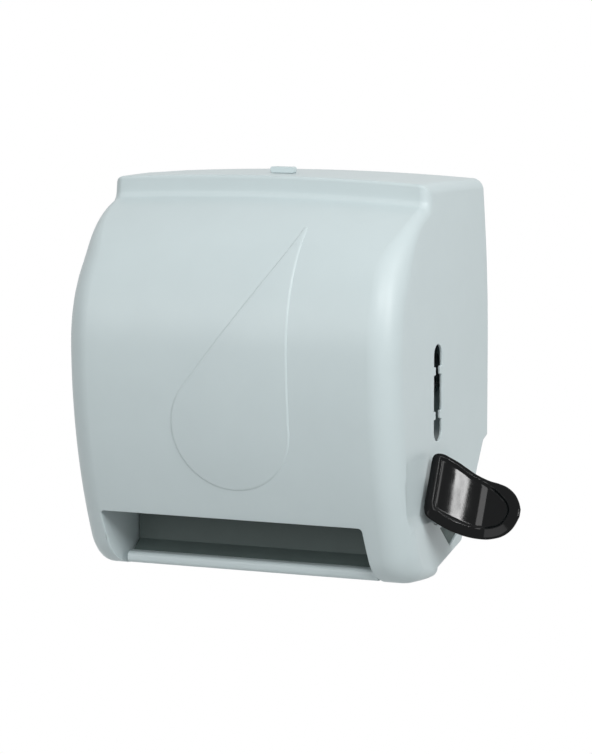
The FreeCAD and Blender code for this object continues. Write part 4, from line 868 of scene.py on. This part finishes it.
    def relief(self) -> BMesh:
        """A low plateau in the shape of a falling drop, laid on the front."""
        right = [(57.6 - 0.8 * step / 24, 140.0 + 152.0 * step / 24) for step in range(1, 25)]
        outline = arc((3.0, 131.0), 54.5, 146.0, 360.0 + 6.0, 60) + right
        outline += arc((54.0, 294.6), 2.8, 0.0, 150.0, 6)
        tip, start = outline[-1], outline[0]
        near_tip, near_round = Vector((46.0, 269.0)), Vector((-16.0, 195.0))
        steps = 34
        for step in range(1, steps):
            share = step / steps
            rest = 1.0 - share
            point = (Vector(tip) * rest ** 3 + near_tip * 3 * rest * rest * share
                     + near_round * 3 * rest * share * share + Vector(start) * share ** 3)
            outline.append((point.x, point.y))
        shape = bmesh.new()
        sunk = 0.5
        face = shape.faces.new([shape.verts.new((across, -sunk, height)) for across, height in outline])
        face.normal_update()
        if face.normal.y < 0:
            bmesh.ops.reverse_faces(shape, faces=[face])
        for thickness, depth in ((0.6, 0.5), (0.7, 0.46), (0.7, 0.26), (0.6, 0.05)):
            bmesh.ops.inset_individual(shape, faces=[face], thickness=thickness, depth=depth)
        low = min(vert.co.z for vert in shape.verts)
        high = max(vert.co.z for vert in shape.verts)
        level = low + 3.0
        while level < high:
            bmesh.ops.bisect_plane(shape, geom=list(shape.verts) + list(shape.edges) + list(shape.faces),
                                   plane_co=(0.0, 0.0, level), plane_no=(0.0, 0.0, 1.0))
            level += 3.0
        for vert in shape.verts:
            across, lift, height = vert.co
            depth = self.front_depth(height)
            below, above = self.front_depth(height - 0.5), self.front_depth(height + 0.5)
            normal = Vector((1.0, below - above)).normalized()
            vert.co = self.shaped(across, depth + normal.x * lift, height + normal.y * lift)
        bmesh.ops.recalc_face_normals(shape, faces=shape.faces)
        return shape


# Hand lever

@dataclass
class HandLever:
    """The black paddle: a dished face inside a raised rim, set off forward by a soft S-bend from
    its root, with a hub and an arm behind it. Sizes in millimetres, drawn square to itself with
    heights along the paddle and offsets in front of the pivot."""

    pivot: tuple[float, float] = (120.0, 60.0)
    lean: float = 26.4
    offset: float = 34.3
    drop: float = 26.0
    bend_start: float = 152.0
    bend_end: float = 200.0
    thickness: float = 4.6
    edge: float = 1.5
    dish: float = 1.5
    rim_fall: float = 0.17
    rim_root: float = 7.2
    rim_broad: float = 8.6
    rim_top: float = 3.4
    rim_slope: float = 2.0
    across_cells: int = 96
    up_cells: int = 72
    hub_radius: float = 12.5
    hub_end: float = 163.0
    arm_span: tuple[float, float] = (151.4, 159.2)
    arm_outline: Loop = field(default_factory=lambda: [(0.0, -11.0), (32.0, -8.0), (32.0, 20.0), (0.0, 11.0)])
    upper: Loop = field(default_factory=lambda: [
        (150.7, 33.0), (152.0, 35.4), (155.6, 37.3), (161.0, 37.4), (166.0, 35.8), (172.0, 33.7), (178.0, 30.8),
        (185.0, 27.4), (195.0, 24.2), (204.0, 22.3), (211.5, 19.6), (218.6, 14.2), (223.0, 7.7), (225.4, 1.5)])
    lower: Loop = field(default_factory=lambda: [
        (150.7, -10.6), (152.6, -15.4), (158.0, -19.2), (166.0, -22.6), (173.0, -25.0), (180.0, -26.3),
        (187.0, -26.9), (195.0, -26.7), (203.0, -25.9), (212.0, -23.2), (218.0, -18.9), (222.0, -13.3),
        (225.4, -4.5)])

    def settled(self, across: float, up: float, forward: float) -> Vector:
        """A place on the lever, leaned back about its pivot.

        Args:
            across: X.
            up: the height along the paddle.
            forward: the offset in front of the pivot.

        Returns:
            The place in metres.
        """
        turn = math.radians(self.lean)
        depth = self.pivot[0] + forward * math.cos(turn) - up * math.sin(turn)
        return spot(across, depth, self.pivot[1] + forward * math.sin(turn) + up * math.cos(turn))

    def face_offset(self, across: float) -> float:
        """How far the paddle's face stands in front of the pivot.

        Args:
            across: X.

        Returns:
            The offset.
        """
        return self.offset - self.drop * smooth_share(self.bend_start, self.bend_end, across)

    def edge_at(self, points: Loop, across: float) -> float:
        """The height of one long edge of the paddle, on a smooth curve through its points.

        Args:
            points: the edge's points from root to tip.
            across: X.

        Returns:
            The height along the paddle.
        """
        place = max(k for k, point in enumerate(points[:-1]) if point[0] <= across or k == 0)
        near = [points[min(max(k, 0), len(points) - 1)] for k in range(place - 1, place + 3)]
        run = near[2][0] - near[1][0]
        share = (across - near[1][0]) / run
        slopes = []
        for before, after in ((near[0], near[2]), (near[1], near[3])):
            slopes.append((after[1] - before[1]) / max(after[0] - before[0], 0.01) * run)
        square, cube = share * share, share ** 3
        return ((2 * cube - 3 * square + 1) * near[1][1] + (cube - 2 * square + share) * slopes[0]
                + (3 * square - 2 * cube) * near[2][1] + (cube - square) * slopes[1])

    def rim_groups(self, sheet: BMesh) -> list[tuple[KDTree, list[float]]]:
        """The sheet's outline as root, lower and upper edges, with the raised rim's width along each.

        Args:
            sheet: the flat sheet, as X and height.

        Returns:
            For each edge a tree of its points and the widths at those points.
        """
        root, tip = self.upper[0][0], self.upper[-1][0]
        rim = [vert.co.copy() for vert in sheet.verts if vert.is_boundary]
        rim += [(edge.verts[0].co + edge.verts[1].co) / 2 for edge in sheet.edges if edge.is_boundary]
        edges: dict[str, list[tuple[Vector, float]]] = {"root": [], "lower": [], "upper": []}
        for point in rim:
            if point.x < root + 0.01:
                edges["root"].append((point, self.rim_root))
                continue
            middle = (self.edge_at(self.lower, point.x) + self.edge_at(self.upper, point.x)) / 2
            share = smooth_share(tip - 34.0, tip - 10.0, point.x) if point.y > middle else 1.0
            width = self.rim_top + (self.rim_broad - self.rim_top) * share
            edges["upper" if point.y > middle else "lower"].append((point, width))
        groups = []
        for members in edges.values():
            tree = KDTree(len(members))
            for place, (point, _) in enumerate(members):
                tree.insert(point, place)
            tree.balance()
            groups.append((tree, [width for _, width in members]))
        return groups

    def paddle(self) -> BMesh:
        """The closed paddle, rim and dish included."""
        shape = bmesh.new()
        bmesh.ops.create_grid(shape, x_segments=self.across_cells, y_segments=self.up_cells, size=1.0)
        root, tip = self.upper[0][0], self.upper[-1][0]
        for vert in shape.verts:
            across = root + (tip - root) * (0.5 + 0.5 * math.sin(vert.co.x * math.pi / 2))
            low, high = self.edge_at(self.lower, across), self.edge_at(self.upper, across)
            vert.co = Vector((across, low + (high - low) * (0.5 + 0.5 * math.sin(vert.co.y * math.pi / 2)), 0.0))
        groups = self.rim_groups(shape)
        made = bmesh.ops.extrude_face_region(shape, geom=list(shape.faces))["geom"]
        behind = {part for part in made if isinstance(part, BMVert)}
        for vert in shape.verts:
            across, up = vert.co.x, vert.co.y
            near, margin = 1000.0, 1000.0
            for tree, widths in groups:
                _, place, distance = tree.find(vert.co)
                near = min(near, distance)
                margin = min(margin, distance - widths[place])
            ease = max(self.edge - near, 0.0)
            rounding = self.edge - math.sqrt(max(self.edge ** 2 - ease ** 2, 0.0))
            slope = (self.face_offset(across + 0.1) - self.face_offset(across - 0.1)) / 0.2
            normal = Vector((-slope, 1.0)).normalized()
            dish = self.dish * smooth_share(0.0, self.rim_slope, margin)
            fall = self.rim_fall * max(-margin, 0.0)
            lift = -self.thickness + rounding if vert in behind else -rounding - dish - fall
            vert.co = self.settled(across + normal.x * lift, up, self.face_offset(across) + normal.y * lift)
        bmesh.ops.recalc_face_normals(shape, faces=shape.faces)
        return shape

    def hub(self) -> BMesh:
        """The round hub on the lever shaft, its rim broken."""
        shape = bmesh.new()
        low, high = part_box("hand_lever")[0].x / MM, self.hub_end
        middle = spot((low + high) / 2, *self.pivot)
        bmesh.ops.create_cone(
            shape, cap_ends=True, segments=72, radius1=self.hub_radius * MM, radius2=self.hub_radius * MM,
            depth=(high - low) * MM, matrix=Matrix.Translation(middle) @ Matrix.Rotation(math.pi / 2, 4, "Y"))
        ends = [face for face in shape.faces if len(face.verts) > 4]
        rims = list({edge for face in ends for edge in face.edges})
        bmesh.ops.bevel(shape, geom=rims, offset=1.2 * MM, segments=4, profile=0.5, affect="EDGES", material=-1)
        return shape

    def arm(self) -> BMesh:
        """The arm that carries the paddle from the hub."""
        shape = bmesh.new()
        low, high = self.arm_span
        face = shape.faces.new([shape.verts.new((low, up, forward)) for forward, up in self.arm_outline])
        made = bmesh.ops.extrude_face_region(shape, geom=[face])["geom"]
        bmesh.ops.translate(shape, verts=[part for part in made if isinstance(part, BMVert)],
                            vec=(high - low, 0.0, 0.0))
        bmesh.ops.recalc_face_normals(shape, faces=shape.faces)
        bmesh.ops.bevel(shape, geom=list(shape.edges), offset=1.0, segments=3, profile=0.5, affect="EDGES",
                        material=-1)
        for vert in shape.verts:
            vert.co = self.settled(vert.co.x, vert.co.y, vert.co.z)
        bmesh.ops.recalc_face_normals(shape, faces=shape.faces)
        return shape

    def build(self, dresser: Dresser) -> list[bpy.types.Object]:
        """Build and dress the lever.

        Args:
            dresser: gives the piece its material.

        Returns:
            The lever's piece.
        """
        whole = combined(self.paddle(), [self.hub(), self.arm()], "UNION")
        piece = keep_piece(whole, "lever_paddle", "lever", Slot.LEVER, dresser)
        weighted = piece.modifiers.new("face_shading", "WEIGHTED_NORMAL")
        weighted.keep_sharp = True
        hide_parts("hand_lever")
        return [piece]


# Studio

@dataclass
class Studio:
    """Camera, lamps, world and floor."""

    azimuth: float = 23.42
    elevation: float = 7.08
    distance: float = 2.935
    target: tuple[float, float, float] = (0.01758, -0.112, -0.05234)
    lens: float = 164.7
    floor_height: float = -1.0
    floor_radius: float = 1.2
    # How much paler the floor is to the camera alone, so that it meets the white behind it
    floor_glow: float = 0.35
    ambient_below: float = 0.1
    ambient_above: float = 0.5
    lamps: tuple[tuple[str, tuple[float, float, float], tuple[float, float], float], ...] = (
        ("right_strip", (1.9, -0.91, 0.99), (0.09, 1.25), 21.0),
        ("front_soft_box", (1.094, -1.742, 1.4), (0.8, 0.9), 17.0),
        ("front_fill", (-0.82, -2.4, 0.72), (1.6, 1.0), 12.0),
    )

    def camera(self) -> None:
        """Set the camera at the viewing angle."""
        data = bpy.data.cameras.new("camera")
        data.lens = self.lens
        data.sensor_width = 36.0
        data.clip_end = 50.0
        camera = bpy.data.objects.new("camera", data)
        azimuth, elevation = math.radians(self.azimuth), math.radians(self.elevation)
        back = Vector((math.sin(azimuth) * math.cos(elevation), -math.cos(azimuth) * math.cos(elevation),
                       math.sin(elevation)))
        camera.location = Vector(self.target) + back * self.distance
        camera.rotation_euler = back.to_track_quat("Z", "Y").to_euler()
        bpy.context.scene.collection.objects.link(camera)
        bpy.context.scene.camera = camera

    def lights(self) -> None:
        """Set the soft lamps, each aimed at the object."""
        for name, place, (wide, high), power in self.lamps:
            data = bpy.data.lights.new(name, "AREA")
            data.shape = "RECTANGLE"
            data.size = wide
            data.size_y = high
            data.energy = power
            lamp = bpy.data.objects.new(name, data)
            lamp.location = place
            lamp.rotation_euler = (Vector(place) - Vector(self.target)).to_track_quat("Z", "Y").to_euler()
            bpy.context.scene.collection.objects.link(lamp)

    def world(self) -> None:
        """A world that is white to the camera and to reflections and gives a softer fill."""
        world = bpy.data.worlds.new("studio")
        world.use_nodes = True
        tree = world.node_tree
        tree.nodes.clear()
        path = add_node(tree, "ShaderNodeLightPath")
        seen = add_node(tree, "ShaderNodeMath", {"operation": "MAXIMUM"})
        tree.links.new(path.outputs["Is Camera Ray"], seen.inputs[0])
        tree.links.new(path.outputs["Is Glossy Ray"], seen.inputs[1])
        shown = add_node(tree, "ShaderNodeMath", {"operation": "MAXIMUM"})
        tree.links.new(seen.outputs[0], shown.inputs[0])
        tree.links.new(path.outputs["Is Transmission Ray"], shown.inputs[1])
        way = add_node(tree, "ShaderNodeTexCoord")
        parts = add_node(tree, "ShaderNodeSeparateXYZ", links={"Vector": way.outputs["Generated"]})
        level = add_node(
            tree, "ShaderNodeMapRange",
            {"From Min": -1.0, "From Max": 1.0, "To Min": self.ambient_below, "To Max": self.ambient_above},
            {"Value": parts.outputs["Z"]},
        )
        fill = add_node(tree, "ShaderNodeBackground", {"Color": (1.0, 1.0, 1.0, 1.0)},
                        {"Strength": level.outputs["Result"]})
        white = add_node(tree, "ShaderNodeBackground", {"Color": (1.0, 1.0, 1.0, 1.0), "Strength": 1.0})
        mix = add_node(tree, "ShaderNodeMixShader")
        tree.links.new(shown.outputs[0], mix.inputs[0])
        tree.links.new(fill.outputs[0], mix.inputs[1])
        tree.links.new(white.outputs[0], mix.inputs[2])
        add_node(tree, "ShaderNodeOutputWorld", links={"Surface": mix.outputs[0]})
        bpy.context.scene.world = world

    def floor(self) -> None:
        """A plain pale floor well below the hanging object."""
        shape = bmesh.new()
        bmesh.ops.create_circle(shape, cap_ends=True, segments=96, radius=self.floor_radius,
                                matrix=Matrix.Translation((0.0, 0.0, self.floor_height)))
        mesh = bpy.data.meshes.new("floor")
        shape.to_mesh(mesh)
        shape.free()
        floor = bpy.data.objects.new("floor", mesh)
        bpy.context.scene.collection.objects.link(floor)
        material = bpy.data.materials.new("pale_floor")
        material.use_nodes = True
        shader = material.node_tree.nodes["Principled BSDF"]
        shader.inputs["Base Color"].default_value = linear_colour("#eceeee")
        shader.inputs["Roughness"].default_value = 0.8
        shader.inputs["Emission Color"].default_value = (1.0, 1.0, 1.0, 1.0)
        path = add_node(material.node_tree, "ShaderNodeLightPath")
        glow = add_node(material.node_tree, "ShaderNodeMapRange", {"To Max": self.floor_glow},
                        {"Value": path.outputs["Is Camera Ray"]})
        material.node_tree.links.new(glow.outputs["Result"], shader.inputs["Emission Strength"])
        mesh.materials.append(material)

    def build(self) -> None:
        """Set the whole studio."""
        self.camera()
        self.lights()
        self.world()
        self.floor()
        bpy.context.scene.view_settings.view_transform = "Standard"


@dataclass
class Works:
    """The CAD nodes that stay: their loose triangles are welded and their moulded or sheared edges broken."""

    edge_breaks: dict[str, float] = field(default_factory=lambda: {
        "slide_lock": 0.3, "lower_tray": 0.5, "paper_guide": 0.3, "back_plate": 0.4, "side_frame_left": 0.4,
        "side_frame_right": 0.4, "gear_housing": 0.4, "cross_bar": 0.3, "spring_bar": 0.3,
        "roll_arm_left": 0.5, "roll_arm_right": 0.5, "core_plug_left": 0.6, "core_plug_right": 0.6,
        "feed_sleeves": 0.5, "pinch_sleeves": 0.5, "lever_screw": 0.25, "lock_catch": 0.4,
    })
    weld_mm: float = 0.01
    # Triangles closer to one plane than this many degrees become one face
    flat_angle: float = 0.5

    def build(self) -> None:
        """Break the edges."""
        for name, width in self.edge_breaks.items():
            node = frame["nodes"][name]
            weld = node.modifiers.new("weld", "WELD")
            weld.merge_threshold = self.weld_mm * MM
            merge = node.modifiers.new("flat_faces", "DECIMATE")
            merge.decimate_type = "DISSOLVE"
            merge.angle_limit = math.radians(self.flat_angle)
            soften_edges(node, width, 2, 38.0)


def main() -> None:
    """Build every piece in order."""
    logging.basicConfig(level=logging.INFO)
    dresser = Dresser()
    dresser.dress_nodes()
    Studio().build()
    for part in (Cover(), HandLever()):
        for piece in part.build(dresser):
            log.info("built %s", piece.name)
    Works().build()


if __name__ == "__main__":
    main()
